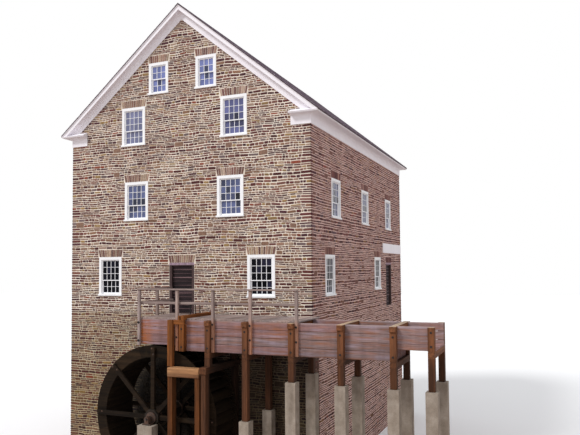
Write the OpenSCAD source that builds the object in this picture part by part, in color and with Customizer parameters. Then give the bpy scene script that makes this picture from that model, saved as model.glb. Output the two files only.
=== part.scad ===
/* [Building] */
// Width of the wheel gable, over the stone
body_w = 10760; // [10200:20:11600]
// Length of the building, over the stone
body_l = 14100; // [13800:20:15600]
// Thickness of the stone walls
wall_t = 660; // [520:10:760]
// Height of the first floor above the foot of the walls
first_floor_z = 6040; // [5900:10:6150]
// Storey height from the first floor to the second
first_storey = 3010; // [2900:10:3150]
// Storey height from the second floor to the third
second_storey = 3040; // [2900:10:3150]
// Storey height from the third floor to the attic
third_storey = 2660; // [2560:10:2760]
// Thickness of the floor boards
board_t = 50; // [30:5:60]
// Width of a joist
joist_w = 80; // [60:5:120]
// Depth of a joist
joist_d = 250; // [180:10:300]
// Spacing of joists and rafters
joist_step = 620; // [500:10:800]

/* [Roof] */
// Height of the ridge of the roof covering above the attic floor
attic_rise = 3620; // [3400:10:3900]
// Angle of the roof above level
roof_angle = 39.26; // [38:0.25:40.5]
// Thickness of the roof covering, measured upright
cover_t = 60; // [50:5:110]
// Overhang of the roof at the eaves
eave_out = 390; // [300:10:450]
// Overhang of the roof at the gables
gable_out = 300; // [220:10:360]
// Width of a rafter
rafter_w = 75; // [50:5:100]
// Depth of a rafter, measured upright
rafter_d = 230; // [160:10:280]
// Width of each half of the ridge cap
cap_w = 150; // [100:10:250]
// Thickness of the ridge cap
cap_t = 20; // [12:1:30]

/* [Cornice] */
// Height of the flat frieze board under the eaves
frieze_h = 370; // [240:10:420]
// Height of the fascia board under the covering at the eaves
fascia_h = 45; // [30:5:100]
// Thickness of the frieze boards
frieze_t = 28; // [18:1:40]
// Depth of the raking box under the covering, measured upright
rake_box_h = 170; // [120:5:220]
// Depth of the raking frieze, measured upright
rake_frieze_h = 310; // [220:10:360]
// Depth of the crown moulding, measured upright
crown_h = 45; // [40:5:100]
// How far the crown moulding stands out from the fascia
crown_out = 30; // [15:5:50]
// Radius of the hollow bed moulding between a frieze and its soffit
bed_r = 100; // [25:5:120]
// Length of the cornice return along the gable
return_l = 760; // [600:10:900]
// How far the covering runs past the crown mouldings
cover_lap = 5; // [3:1:15]
// Height of the return's front edge above the soffit
return_edge_h = 50; // [40:5:100]
// Rise of the small roof on the return from its edge to the wall
return_rise = 150; // [80:10:200]

/* [Windows] */
// Width of a window over its casing
window_w = 1120; // [1000:10:1200]
// Height of a window over its casing and sill
window_h = 1570; // [1450:10:1570]
// Width of an attic window over its casing
attic_window_w = 910; // [800:10:1000]
// Height of an attic window over its casing and sill
attic_window_h = 1280; // [1150:10:1300]
// Height of the window sills above a floor
sill_h = 900; // [800:10:900]
// Height of the attic window sills above the attic floor
attic_sill_h = 230; // [150:10:260]
// Distance of the first floor gable windows from the middle
gable_x_1 = 3400; // [2600:20:3600]
// Distance of the second floor gable windows from the middle
gable_x_2 = 2130; // [1400:20:2600]
// Distance of the third floor gable windows from the middle
gable_x_3 = 2285; // [1400:20:2500]
// Distance of the attic windows from the middle
gable_x_attic = 1085; // [700:5:1200]
// Distance of the near upper side window from the wheel gable
side_y_near = 2770; // [2300:20:3600]
// Distance of the middle upper side window from the wheel gable
side_y_middle = 6940; // [5600:20:7800]
// Distance of the far side windows from the back gable
side_back = 2830; // [2300:10:3600]
// Distance of the near lower entrance window from the wheel gable
entrance_y_near = 1980; // [1500:20:3200]
// Distance of the far lower entrance window from the back gable
entrance_back = 5040; // [4700:20:7400]
// Width of the window casing
casing_w = 110; // [80:5:130]
// How far the casing stands out of the stone
casing_out = 20; // [5:5:40]
// Depth of the window and door frames
frame_d = 130; // [120:5:180]
// Thickness of the window sill
sill_t = 65; // [40:5:90]
// How far the sill stands out of the stone
sill_out = 60; // [30:5:90]
// How far the sill runs past the casing at each end
sill_ear = 30; // [10:5:60]
// Thickness of a sash
sash_t = 40; // [32:1:44]
// Width of the sash stiles and top rails
stile_w = 46; // [36:1:60]
// Height of the meeting rails
meeting_h = 34; // [26:1:50]
// Height of the bottom rail
bottom_rail_h = 65; // [50:5:90]
// Thickness of the glass
glass_t = 4; // [3:0.5:6]
// Share of the opening height that the lower sash of a big window takes
lower_share = 0.4; // [0.35:0.05:0.5]

/* [Doors] */
// Width of a door over its frame
door_w = 1130; // [1000:10:1200]
// Height of the gable door over its frame
gable_door_h = 1960; // [1850:10:2100]
// Height of the entrance door over its frame
entrance_door_h = 2210; // [2050:10:2300]
// Height of the stone arches over the doors
arch_h = 260; // [200:10:320]
// Distance of the entrance door from the back gable
entrance_door_back = 2800; // [2400:20:3200]
// Width of the door frame
door_frame_w = 90; // [60:5:120]
// Thickness of a door threshold
threshold_t = 40; // [30:5:60]
// Thickness of a door leaf
leaf_t = 45; // [35:5:60]
// Clearance round a door leaf
leaf_gap = 8; // [7:1:12]
// Clearance between a closed leaf and its stop
stop_gap = 5; // [5:1:8]
// Distance of a hinge from the leaf's nearer end, as a share of the leaf's height
hinge_share = 0.16; // [0.12:0.01:0.2]
// How far a door stop overlaps the leaf
stop_lap = 12; // [8:1:20]
// Length of a strap hinge
strap_l = 520; // [300:10:700]
// Height of a strap hinge
strap_h = 45; // [36:1:60]
// Thickness of a strap hinge
strap_t = 6; // [4:1:8]
// Radius of a hinge pin
hinge_pin_r = 7; // [5:0.5:9]
// Radius of a hinge eye
hinge_eye_r = 13; // [12:0.5:16]
// Length of the sign board
sign_l = 3950; // [2400:50:3980]
// Height of the sign board
sign_h = 480; // [300:10:520]
// Height of the sign board above the arch of the entrance door
sign_lift = 240; // [120:10:300]
// Distance of the sign board from the back corner
sign_end = 50; // [20:10:200]
// Thickness of the sign board
sign_t = 40; // [20:5:60]

/* [Flume] */
// Height of the deck above the first floor
deck_lift = 250; // [160:10:280]
// Thickness of the deck boards
deck_t = 50; // [40:5:60]
// Distance of the flume's near face from the gable
flume_near = 2000; // [1960:10:2080]
// Distance of the flume's far face from the gable
flume_far = 400; // [380:10:440]
// Thickness of the flume planks
plank_t = 60; // [40:5:70]
// Distance of the launder's open end from the middle of the gable, on the left
launder_left = 510; // [480:10:640]
// Clearance between the wheel and the lower edge of the head box
step_gap = 223; // [200:1:300]
// Depth of the launder, from the top of its planks to its underside
launder_h = 900; // [840:10:940]
// Clearance between the wheel and the launder over it
launder_gap = 40; // [30:5:60]
// Depth of the head box, from the top of its planks to its underside
head_h = 1070; // [1010:5:1100]
// Depth of the shallower last bay, from the top of its planks to its underside
tail_h = 710; // [600:10:800]
// Distance of the first yoke from the middle of the gable
yoke_x_1 = 2410; // [2200:10:2600]
// Distance from the first yoke to the second
bay_2 = 1410; // [1200:10:1600]
// Distance between the other yokes
bay_l = 1650; // [1400:10:1800]
// Length of the last bay
last_bay = 1230; // [800:10:1600]
// Size of the yoke timbers
yoke_w = 200; // [160:10:240]
// Height of the yoke beams
yoke_beam_h = 170; // [120:10:200]
// How far the yoke beams run past the posts
yoke_ear = 50; // [20:5:100]
// Width of the cross beam that carries the first yoke
cross_beam_w = 280; // [240:10:300]
// Height of the cross beam that carries the first yoke
cross_beam_h = 220; // [180:10:360]
// Height of the cross beam's top above the top of the heavy beam
cross_beam_lift = 60; // [30:10:100]
// How far the cross beam's right face runs past the first yoke
cross_beam_ear = 10; // [5:5:20]
// Clearance between the wheel's far arms and the cross beam's far post
cross_post_gap = 50; // [20:5:60]
// Size of the concrete piers
pier_w = 350; // [300:10:450]
// Width of the pier under the outer bearing
outer_pier_w = 600; // [500:10:700]
// How far the outer bearing's pier runs out before the bearing
outer_pier_front = 100; // [60:10:140]
// How far the outer bearing's pier runs in behind the bearing
outer_pier_back = 60; // [40:5:70]
// Height of the first trestle pier
low_pier_z = 3000; // [2500:50:4000]
// Height of the other trestle piers
pier_z = 4370; // [3800:10:4700]

/* [Railing] */
// Height of the hand rail above the deck
rail_h = 1030; // [950:10:1150]
// Size of a rail post
rail_post_w = 100; // [80:5:110]
// Width of the hand rail
hand_rail_w = 140; // [100:5:160]
// Thickness of the hand rail
hand_rail_t = 55; // [40:5:80]
// How far the first post reaches below the launder
rail_post_drop = 40; // [0:5:40]
// Distance of the second rail post's middle from the middle of the gate posts
rail_post_back = 260; // [210:5:280]
// Distance of the post at the railing's end from the gable
end_post_y_gap = 950; // [700:10:1200]
// Height of the middle rail's top above the deck
mid_rail_z = 570; // [500:10:750]
// Height of the middle rail's board
mid_rail_h = 90; // [70:5:120]
// Thickness of the middle rail's board
mid_rail_t = 40; // [25:5:50]

/* [Sluice gate] */
// Distance of the gate posts' middle from the middle of the gable
gate_post_x = 1390; // [1370:5:1410]
// How far the sluice gate stands to the left of its posts' middle
gate_back = 50; // [40:5:80]
// Thickness of the sluice gate
gate_t = 40; // [30:5:50]
// How far the sluice gate lifts
gate_lift = 250; // [150:10:300]
// Clearance under the deck when the gate is lifted
gate_top_gap = 50; // [20:5:80]
// How far the gate posts reach below the top of the wheel
gate_post_drop = 130; // [80:10:140]
// Distance between neighbouring lifting bars
bar_step = 327; // [250:1:400]
// Number of lifting bars
bar_n = 3; // [2:1:4]
// Width of a lifting bar
bar_w = 30; // [20:5:40]
// How far the lifting crossbar runs past the outer bars
bar_ear = 20; // [10:5:60]
// Height of the lifting bars above the deck
bar_z = 420; // [400:10:650]
// Width of the pair of head timbers over the gate, with the slot between them
head_beam_w = 230; // [200:5:260]
// Height of the head timbers over the gate
head_beam_h = 150; // [100:10:200]
// Clearance round the sliding gate and its bars
gate_gap = 6; // [5:1:10]
// Size of the guide battens
guide_w = 45; // [30:5:60]

/* [Front frame] */
// Distance of the front post's left face from the middle of the gable
front_post_x = 850; // [820:10:900]
// Width of the front post
front_post_w = 210; // [180:10:250]
// Thickness of the front post
front_post_t = 150; // [120:10:200]
// Height of the heavy beam's top above the wheel's axis
beam_rise = 1840; // [1700:10:1900]
// Height of the heavy beam
beam_h = 310; // [260:10:400]
// Thickness of the heavy beam
beam_t = 350; // [300:10:400]
// Length of the heavy beam
beam_l = 1250; // [1100:10:1400]
// Width of the posts under the heavy beam
beam_post_w = 180; // [140:10:220]
// How far the posts under the heavy beam stand back from its faces
beam_post_inset = 40; // [20:5:60]
// How far the heavy beam starts to the right of the front post's left face
beam_start = 130; // [40:5:150]
// Clearance between the front frame and the wheel's arms
front_gap = 30; // [20:5:60]
// Height of the cap timber beside the front post
cap_beam_h = 150; // [120:10:240]

/* [Water wheel] */
// Distance of the wheel's axis from the middle of the gable
wheel_x = 120; // [60:10:160]
// Outer radius of the wheel
wheel_r = 2500; // [2400:10:2510]
// Width of the wheel over its rims
wheel_w = 1550; // [1450:10:1560]
// Distance of the wheel's far rim from the gable
wheel_gap = 420; // [400:10:430]
// Depth of the rims
rim_d = 420; // [340:10:480]
// Thickness of the rims
rim_t = 60; // [45:5:80]
// Thickness of the sole boards
sole_t = 30; // [20:2:40]
// Number of buckets
bucket_n = 40; // [32:4:48]
// Thickness of the bucket boards
bucket_t = 28; // [18:2:36]
// Depth of a bucket's floor board, measured from the sole
riser_d = 170; // [130:10:200]
// How far a bucket's front board stops short of the rim's edge
lip_short = 12; // [8:1:20]
// Angle that a bucket's front board leads its floor board
lip_angle = 7.5; // [5:0.5:8]
// Width of an arm
arm_w = 160; // [120:10:190]
// Thickness of an arm
arm_t = 100; // [80:5:110]
// How far the arms stop short of the rim's edge
arm_short = 60; // [40:10:120]
// Width of the eight-sided shaft across its flats
shaft_w = 560; // [480:10:600]
// How far the shaft runs past the arms at each end
shaft_end = 60; // [40:5:100]
// Clearance between a collar and its bearing
end_play = 60; // [30:5:80]
// Radius of the iron gudgeons
gudgeon_r = 50; // [40:1:60]
// Radius of the iron collars on the shaft's ends
collar_r = 200; // [150:10:230]
// Thickness of the iron collars
collar_t = 40; // [25:5:60]
// Length of the inner shaft end that stands clear inside the building
drive_l = 400; // [300:10:600]
// Length of a bearing along the shaft
bearing_l = 200; // [150:10:240]
// How far a bearing's foot runs past the gudgeon on each side
bearing_foot = 120; // [90:5:140]
// Thickness of a bearing's foot
bearing_foot_t = 45; // [30:5:60]
// Thickness of the iron round a gudgeon in its bearing
bearing_shell = 40; // [25:5:50]
// Height of the shaft's axis above a bearing's seat
bearing_h = 200; // [160:10:240]
// Clearance between the gudgeon and the sides of its hole in the wall
shaft_hole_gap = 180; // [150:10:220]
// Radial clearance of the gudgeons in their bearings
bearing_gap = 0.3; // [0.2:0.1:0.5]

/* [Hidden] */
$fn = 96;

stone = [0.47, 0.40, 0.33];
white = [0.90, 0.89, 0.93];
shingle = [0.36, 0.32, 0.34];
old_wood = [0.50, 0.44, 0.45];
brown_wood = [0.45, 0.30, 0.19];
dark_wood = [0.12, 0.10, 0.08];
concrete = [0.58, 0.56, 0.52];
iron = [0.20, 0.18, 0.17];
pane = [0.45, 0.48, 0.62];

// A seat clearance that keeps two fitted pieces apart
seat_gap = 0.3;
// How far a cutting tool runs past the faces that it cuts
over = 50;
// How far one piece of a solid runs into the next, so that the two join
fuse = 10;
// Flat steps along a moulding's curve
mould_n = 6;

// The plan: X is 0 in the middle of the wheel gable, Y is 0 in the middle of its thickness
half_w = body_w / 2;
half_in = half_w - wall_t;
front_y = -wall_t / 2;
inner_y = wall_t / 2;
back_y = front_y + body_l;
back_in = back_y - wall_t;
mid_y = (front_y + back_y) / 2;

side_y_far = body_l - side_back;
entrance_door_y = body_l - entrance_door_back;

// The levels
second_floor_z = first_floor_z + first_storey;
third_floor_z = second_floor_z + second_storey;
attic_z = third_floor_z + third_storey;
ridge_z = attic_z + attic_rise;
deck_z = first_floor_z + deck_lift;
gable_sill_z = deck_z;
gable_head_z = deck_z + gable_door_h;
entrance_head_z = first_floor_z + entrance_door_h;
wheel_split_z = gable_head_z + arch_h;
entrance_split_z = entrance_head_z + arch_h;

// The roof's lines
roof_rise = tan(roof_angle);
eave_x = half_w + eave_out;
function cover_top(x) = ridge_z - roof_rise * abs(x);
function cover_under(x) = cover_top(x) - cover_t;
// What stands under the covering ends a seat clearance below it
function seat_z(x) = cover_under(x) - seat_gap;
fascia_x = eave_x - cover_lap;
soffit_z = cover_under(fascia_x) - fascia_h;

// Places of the windows: distance along the wall, height of the bottom, and 1 for an attic window
gable_rows = [
    [gable_x_1, first_floor_z + sill_h, 0],
    [gable_x_2, second_floor_z + sill_h, 0],
    [gable_x_3, third_floor_z + sill_h, 0],
    [gable_x_attic, attic_z + attic_sill_h, 1]
];
gable_windows = [for (side = [-1, 1]) for (row = gable_rows) [side * row[0], row[1], row[2]]];
upper_side = [for (y = [side_y_near, side_y_middle, side_y_far]) [y, second_floor_z + sill_h, 0]];
lower_entrance = [for (y = [entrance_y_near, body_l - entrance_back]) [y, first_floor_z + sill_h, 0]];
lower_left = [for (y = [side_y_near, side_y_middle, side_y_far]) [y, first_floor_z + sill_h, 0]];
entrance_windows = concat(upper_side, lower_entrance);
left_windows = concat(upper_side, lower_left);

// The flume's lines
near_y = front_y - flume_near;
far_y = front_y - flume_far;
post_out = yoke_w;
trough_top = deck_z - deck_t;
launder_z = trough_top - launder_h;
head_z = trough_top - head_h;
tail_z = trough_top - tail_h;
wheel_z = launder_z - launder_gap - wheel_r;
beam_z = wheel_z + beam_rise;
step_x = wheel_x + sqrt(pow(wheel_r + step_gap, 2) - pow(head_z - wheel_z, 2)) + plank_t;
gate_foot_z = launder_z - launder_gap - gate_post_drop;
yoke_xs = [yoke_x_1, for (i = [0:3]) yoke_x_1 + bay_2 + i * bay_l];
end_x = yoke_xs[4] + last_bay;
end_yoke_x = end_x - yoke_w / 2;
tail_x = yoke_xs[4];
gate_x = gate_post_x - gate_back;
gate_post_right = gate_post_x + yoke_w / 2;
rail_xs = [
    -launder_left + rail_post_w / 2,
    gate_post_x - rail_post_back,
    for (i = [0:2]) yoke_xs[i] + yoke_w / 2 + rail_post_w / 2
];
deck_end_x = rail_xs[4] + rail_post_w / 2;

// The wheel's lines
wheel_far_y = front_y - wheel_gap;
wheel_near_y = wheel_far_y - wheel_w;
arms_near_y = wheel_near_y - arm_t;
arms_far_y = wheel_far_y + arm_t;
rim_in = wheel_r - rim_d;
sole_r = rim_in + sole_t;
shaft_near_y = arms_near_y - shaft_end;
shaft_far_y = arms_far_y + shaft_end;
outer_bearing_y = shaft_near_y - collar_t - end_play - bearing_l;
front_back_y = arms_near_y - front_gap;
beam_front_y = front_back_y - beam_t;

// A box from its low corner to its high corner
module block(low, high) {
    translate(low) cube(high - low);
}

// A box with its faces given axis by axis
module span(x0, x1, y0, y1, z0, z1) {
    block([x0, y0, z0], [x1, y1, z1]);
}

// An upright outline in X and Z, drawn out along Y from y0 to y1
module drawn(y0, y1, points) {
    translate([0, y1, 0]) rotate([90, 0, 0]) linear_extrude(y1 - y0) polygon(points);
}

// Puts its children on the outer face of a wall, with local Y running into the stone
module on_wall(wall, along, z) {
    if (wall == "wheel") translate([along, front_y, z]) children();
    if (wall == "back") translate([along, back_y, z]) rotate([0, 0, 180]) children();
    if (wall == "entrance") translate([half_w, front_y + along, z]) rotate([0, 0, 90]) children();
    if (wall == "left") translate([-half_w, front_y + along, z]) rotate([0, 0, -90]) children();
}

// Windows
function win_w(kind) = kind == 1 ? attic_window_w : window_w;
function win_h(kind) = kind == 1 ? attic_window_h : window_h;
function win_share(kind) = kind == 1 ? 0.5 : lower_share;

module window_cut(kind) {
    w = win_w(kind);
    span(-w / 2, w / 2, -over, wall_t + over, 0, win_h(kind));
}

module window_casing(kind) {
    w = win_w(kind);
    h = win_h(kind);
    difference() {
        span(-w / 2, w / 2, -casing_out, frame_d, 0, h);
        span(casing_w - w / 2, w / 2 - casing_w, -over, frame_d + over, sill_t, h - casing_w);
    }
    span(-w / 2 - sill_ear, w / 2 + sill_ear, -sill_out, 0, 0, sill_t);
}

// One sash: its low and high edges, its outer face, and the rails below and above its glass
module sash(kind, z0, z1, y0, low_rail, high_rail) {
    half = win_w(kind) / 2 - casing_w - seat_gap;
    difference() {
        span(-half, half, y0, y0 + sash_t, z0, z1);
        span(stile_w - half, half - stile_w, y0 - over, y0 + sash_t + over,
             z0 + low_rail, z1 - high_rail);
    }
}

module sash_glass(kind, z0, z1, y0, low_rail, high_rail) {
    half = win_w(kind) / 2 - casing_w - seat_gap;
    y_glass = y0 + (sash_t - glass_t) / 2;
    span(stile_w - half, half - stile_w, y_glass, y_glass + glass_t, z0 + low_rail, z1 - high_rail);
}

function meeting_z(kind) = sill_t + (win_h(kind) - sill_t - casing_w) * win_share(kind);
outer_sash_y = (frame_d - 2 * sash_t - seat_gap) / 2;
inner_sash_y = outer_sash_y + sash_t + seat_gap;

module window_unit(kind) {
    meet = meeting_z(kind);
    window_casing(kind);
    sash(kind, sill_t + seat_gap, meet + meeting_h / 2, inner_sash_y, bottom_rail_h, meeting_h);
    sash(kind, meet - meeting_h / 2, win_h(kind) - casing_w - seat_gap, outer_sash_y,
         meeting_h, stile_w);
}

module window_panes(kind) {
    meet = meeting_z(kind);
    sash_glass(kind, sill_t + seat_gap, meet + meeting_h / 2, inner_sash_y,
               bottom_rail_h, meeting_h);
    sash_glass(kind, meet - meeting_h / 2, win_h(kind) - casing_w - seat_gap, outer_sash_y,
               meeting_h, stile_w);
}

module cut_windows(wall, list) {
    for (w = list) on_wall(wall, w[0], w[1]) window_cut(w[2]);
}

module put_windows(wall, list) {
    for (w = list) on_wall(wall, w[0], w[1]) window_unit(w[2]);
}

module put_panes(wall, list) {
    for (w = list) on_wall(wall, w[0], w[1]) window_panes(w[2]);
}

module wheel_wall_windows() {
    color(white) put_windows("wheel", gable_windows);
}

module wheel_wall_glass() {
    color(pane) put_panes("wheel", gable_windows);
}

module entrance_wall_windows() {
    color(white) put_windows("entrance", entrance_windows);
}

module entrance_wall_glass() {
    color(pane) put_panes("entrance", entrance_windows);
}

module back_wall_windows() {
    color(white) put_windows("back", gable_windows);
}

module back_wall_glass() {
    color(pane) put_panes("back", gable_windows);
}

module left_wall_windows() {
    color(white) put_windows("left", left_windows);
}

module left_wall_glass() {
    color(pane) put_panes("left", left_windows);
}

// Walls
// The outline of a gable between two heights, closed above by the covering's underside
module gable_shape(z0) {
    polygon([
        [-half_w, z0], [half_w, z0],
        [half_w, seat_z(half_w)], [0, seat_z(0)], [-half_w, seat_z(half_w)]
    ]);
}

module gable_stone(y0, y1, z0) {
    translate([0, y1, 0]) rotate([90, 0, 0]) linear_extrude(y1 - y0) gable_shape(z0);
}

// A side wall between two heights, its top cut to the covering's slope
module side_stone(side, z0) {
    points = [
        [side * half_w, z0], [side * half_in, z0],
        [side * half_in, seat_z(half_in)], [side * half_w, seat_z(half_w)]
    ];
    drawn(inner_y, back_in, points);
}

shaft_hole_w = 2 * (gudgeon_r + shaft_hole_gap);
shaft_hole_top = wheel_z + gudgeon_r + shaft_hole_gap;

module wheel_wall_foot() {
    color(stone) difference() {
        span(-half_w, half_w, front_y, inner_y, 0, gable_sill_z);
        span(wheel_x - shaft_hole_w / 2, wheel_x + shaft_hole_w / 2, front_y - over, inner_y + over,
             wheel_z - bearing_h, shaft_hole_top);
    }
}

module wheel_wall_left() {
    color(stone) difference() {
        span(-half_w, -door_w / 2, front_y, inner_y, gable_sill_z, wheel_split_z);
        cut_windows("wheel", gable_windows);
    }
}

module wheel_wall_right() {
    color(stone) difference() {
        span(door_w / 2, half_w, front_y, inner_y, gable_sill_z, wheel_split_z);
        cut_windows("wheel", gable_windows);
    }
}

module wheel_wall_gable() {
    color(stone) difference() {
        gable_stone(front_y, inner_y, wheel_split_z);
        cut_windows("wheel", gable_windows);
    }
}

module entrance_wall_foot() {
    color(stone) span(half_in, half_w, inner_y, back_in, 0, first_floor_z);
}

door_near_y = front_y + entrance_door_y - door_w / 2;
door_far_y = front_y + entrance_door_y + door_w / 2;

module entrance_wall_near() {
    color(stone) difference() {
        span(half_in, half_w, inner_y, door_near_y, first_floor_z, entrance_split_z);
        cut_windows("entrance", entrance_windows);
    }
}

module entrance_wall_far() {
    color(stone) span(half_in, half_w, door_far_y, back_in, first_floor_z, entrance_split_z);
}

module entrance_wall_upper() {
    color(stone) difference() {
        side_stone(1, entrance_split_z);
        cut_windows("entrance", entrance_windows);
    }
}

module door_arches() {
    color(stone) {
        span(-door_w / 2, door_w / 2, front_y, inner_y, gable_head_z, wheel_split_z);
        span(half_in, half_w, door_near_y, door_far_y, entrance_head_z, entrance_split_z);
    }
}

module back_wall() {
    color(stone) difference() {
        gable_stone(back_in, back_y, 0);
        cut_windows("back", gable_windows);
    }
}

module left_wall() {
    color(stone) difference() {
        side_stone(-1, 0);
        cut_windows("left", left_windows);
    }
}

// Floors
joist_n = floor((back_in - inner_y - joist_step) / joist_step) + 1;
first_joist_y = (inner_y + back_in - (joist_n - 1) * joist_step) / 2;

module floor_frame(z_top) {
    span(-half_in, half_in, inner_y, back_in, z_top - board_t, z_top);
    for (i = [0:joist_n - 1]) {
        y = first_joist_y + i * joist_step;
        span(-half_in, half_in, y - joist_w / 2, y + joist_w / 2,
             z_top - board_t - joist_d, z_top - board_t);
    }
}

module floors() {
    color(brown_wood) {
        for (z = [first_floor_z, second_floor_z, third_floor_z]) floor_frame(z);
        intersection() {
            floor_frame(attic_z);
            drawn(inner_y, back_in, [
                [-half_in, seat_z(half_in) - rafter_d], [0, seat_z(0) - rafter_d],
                [half_in, seat_z(half_in) - rafter_d],
                [half_in, third_floor_z], [-half_in, third_floor_z]
            ]);
        }
    }
}

// Roof
module roof_slope(side) {
    drawn(front_y - gable_out, back_y + gable_out, [
        [0, cover_top(0)], [side * eave_x, cover_top(eave_x)],
        [side * eave_x, cover_under(eave_x)], [0, cover_under(0)]
    ]);
    for (i = [0:joist_n - 1]) {
        y = first_joist_y + i * joist_step;
        drawn(y - rafter_w / 2, y + rafter_w / 2, [
            [0, cover_under(0) + fuse], [side * half_in, cover_under(half_in) + fuse],
            [side * half_in, cover_under(half_in) - rafter_d], [0, cover_under(0) - rafter_d]
        ]);
    }
}

module left_roof_slope() {
    color(shingle) roof_slope(-1);
}

module right_roof_slope() {
    color(shingle) roof_slope(1);
}

function cap_z(x) = cover_top(x) + seat_gap;

module ridge_cap() {
    color(shingle) drawn(front_y - gable_out, back_y + gable_out, [
        [-cap_w, cap_z(cap_w)], [0, cap_z(0)], [cap_w, cap_z(cap_w)],
        [cap_w, cap_z(cap_w) + cap_t], [0, cap_z(0) + cap_t], [-cap_w, cap_z(cap_w) + cap_t]
    ]);
}

// Cornices
soffit_x = fascia_x - crown_out;
rake_front_y = front_y - gable_out + cover_lap;
crown_back_y = rake_front_y + crown_out;
return_edge_z = soffit_z + return_edge_h;
return_x = half_w - return_l;

// The curve of a crown moulding, from its foot out and up by w and h
function crown(x, z, w, h) = [
    for (i = [0:mould_n]) [x + w * i / mould_n, z + h * (1 - cos(180 * i / mould_n)) / 2]
];

// The curve of a bed moulding, from the frieze at x up and out to the soffit at z; side is 1 or -1
function cove(x, z, side) = [
    for (i = [0:mould_n]) let(a = 90 * i / mould_n)
        [x + side * bed_r * (1 - cos(a)), z - bed_r * (1 - sin(a))]
];

// The eave's outline outside the wall, from the foot of the frieze to the covering, with z_low below
function eave_outline(z_low) = concat(
    [[half_w + frieze_t, z_low]], cove(half_w + frieze_t, soffit_z, 1),
    crown(soffit_x, soffit_z, crown_out, seat_z(fascia_x) - soffit_z)
);

// The eave box on the right side: frieze, bed moulding, soffit and crown under the covering
module eave_box() {
    z_low = soffit_z - frieze_h;
    drawn(front_y, back_y, concat(
        [[half_w, z_low]], eave_outline(z_low), [[half_w, seat_z(half_w)]]
    ));
}

// Everything below the covering and inside the eave's outline, for mitring and trimming
module under_cover() {
    drawn(front_y - gable_out - over, back_y + gable_out + over,
          concat([[0, 0]], eave_outline(0), [[0, seat_z(0)]]));
}

// A moulding's section in Y and Z, drawn out along X from x0 to x1
module run_along(x0, x1, points) {
    translate([x0, 0, 0]) rotate([90, 0, 90]) linear_extrude(x1 - x0) polygon(points);
}

// The return of the eave cornice round a gable corner, on the right at the wheel gable
module return_box() {
    frieze_y = front_y - frieze_t;
    intersection() {
        union() {
            run_along(return_x, fascia_x, concat(
                [[front_y, soffit_z]],
                crown(crown_back_y, soffit_z, -crown_out, return_edge_h),
                [[front_y, return_edge_z + return_rise]]
            ));
            run_along(return_x, fascia_x, concat(
                [[front_y, soffit_z + fuse], [front_y, soffit_z - frieze_h],
                 [frieze_y, soffit_z - frieze_h]],
                cove(frieze_y, soffit_z, -1),
                [[frieze_y - bed_r, soffit_z + fuse]]
            ));
        }
        under_cover();
    }
}

module mirrored_y() {
    children();
    translate([0, 2 * mid_y, 0]) mirror([0, 1, 0]) children();
}

module mirrored_x() {
    children();
    mirror([1, 0, 0]) children();
}

module eave_cornices() {
    color(white) mirrored_x() {
        eave_box();
        mirrored_y() return_box();
    }
}

// A chevron band under the covering, from one depth to another, between two places in Y
module rake_band(depth_0, depth_1, y0, y1, x_end) {
    drawn(y0, y1, [
        [0, seat_z(0) - depth_0], [x_end, seat_z(x_end) - depth_0],
        [x_end, seat_z(x_end) - depth_1], [0, seat_z(0) - depth_1],
        [-x_end, seat_z(x_end) - depth_1], [-x_end, seat_z(x_end) - depth_0]
    ]);
}

// A moulding's section in Y and upright depth, drawn out down the right slope from the ridge
module run_down(x_end, points) {
    slope_l = x_end / cos(roof_angle);
    intersection() {
        translate([0, 0, seat_z(0)]) rotate([0, roof_angle, 0])
            run_along(-slope_l / 10, slope_l * 1.1, [for (p = points) [p[0], p[1] * cos(roof_angle)]]);
        span(0, x_end, front_y - gable_out - over, front_y, 0, ridge_z);
    }
}

module rake() {
    frieze_y = front_y - frieze_t;
    difference() {
        union() {
            rake_band(0, rake_box_h, crown_back_y, front_y, fascia_x);
            rake_band(rake_box_h, rake_box_h + rake_frieze_h, frieze_y, front_y, half_w);
            mirrored_x() run_down(fascia_x, concat(
                [[crown_back_y + fuse, 0], [crown_back_y + fuse, -crown_h]],
                crown(crown_back_y, -crown_h, -crown_out, crown_h)
            ));
            mirrored_x() run_down(half_w, concat(
                [[front_y, -rake_box_h + fuse], [front_y, -rake_box_h - bed_r]],
                cove(frieze_y, -rake_box_h, -1),
                [[frieze_y - bed_r, -rake_box_h + fuse]]
            ));
        }
        mirrored_x() return_box();
        mirrored_x() below_return();
    }
}

// The space under the return's small roof, which the raking boards stop above
module below_return() {
    front = front_y - gable_out;
    run_along(return_x, fascia_x + over, [
        [front_y, soffit_z - frieze_h - over], [front_y, return_edge_z + return_rise],
        [rake_front_y, return_edge_z], [front - over, return_edge_z],
        [front - over, soffit_z - frieze_h - over]
    ]);
}

module rakes() {
    color(white) mirrored_y() rake();
}

// Doors
module door_frame(h) {
    w = door_w;
    difference() {
        span(-w / 2, w / 2, 0, frame_d, 0, h);
        span(door_frame_w - w / 2, w / 2 - door_frame_w, frame_d - leaf_t - stop_gap, frame_d + over,
             threshold_t, h - door_frame_w);
        span(door_frame_w + leaf_gap + stop_lap - w / 2, w / 2 - door_frame_w - leaf_gap - stop_lap,
             -over, frame_d + over, threshold_t, h - door_frame_w - leaf_gap - stop_lap);
    }
    for (z = hinge_zs(h)) translate([hinge_x, hinge_y, z]) {
        translate([0, 0, -strap_h]) cylinder(h = strap_h - seat_gap, r = hinge_eye_r);
        translate([0, 0, -strap_h]) cylinder(h = 2 * strap_h, r = hinge_pin_r);
        span(-door_frame_w / 2, 0, -hinge_eye_r, strap_t - hinge_eye_r, -strap_h, -seat_gap);
    }
}

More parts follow.
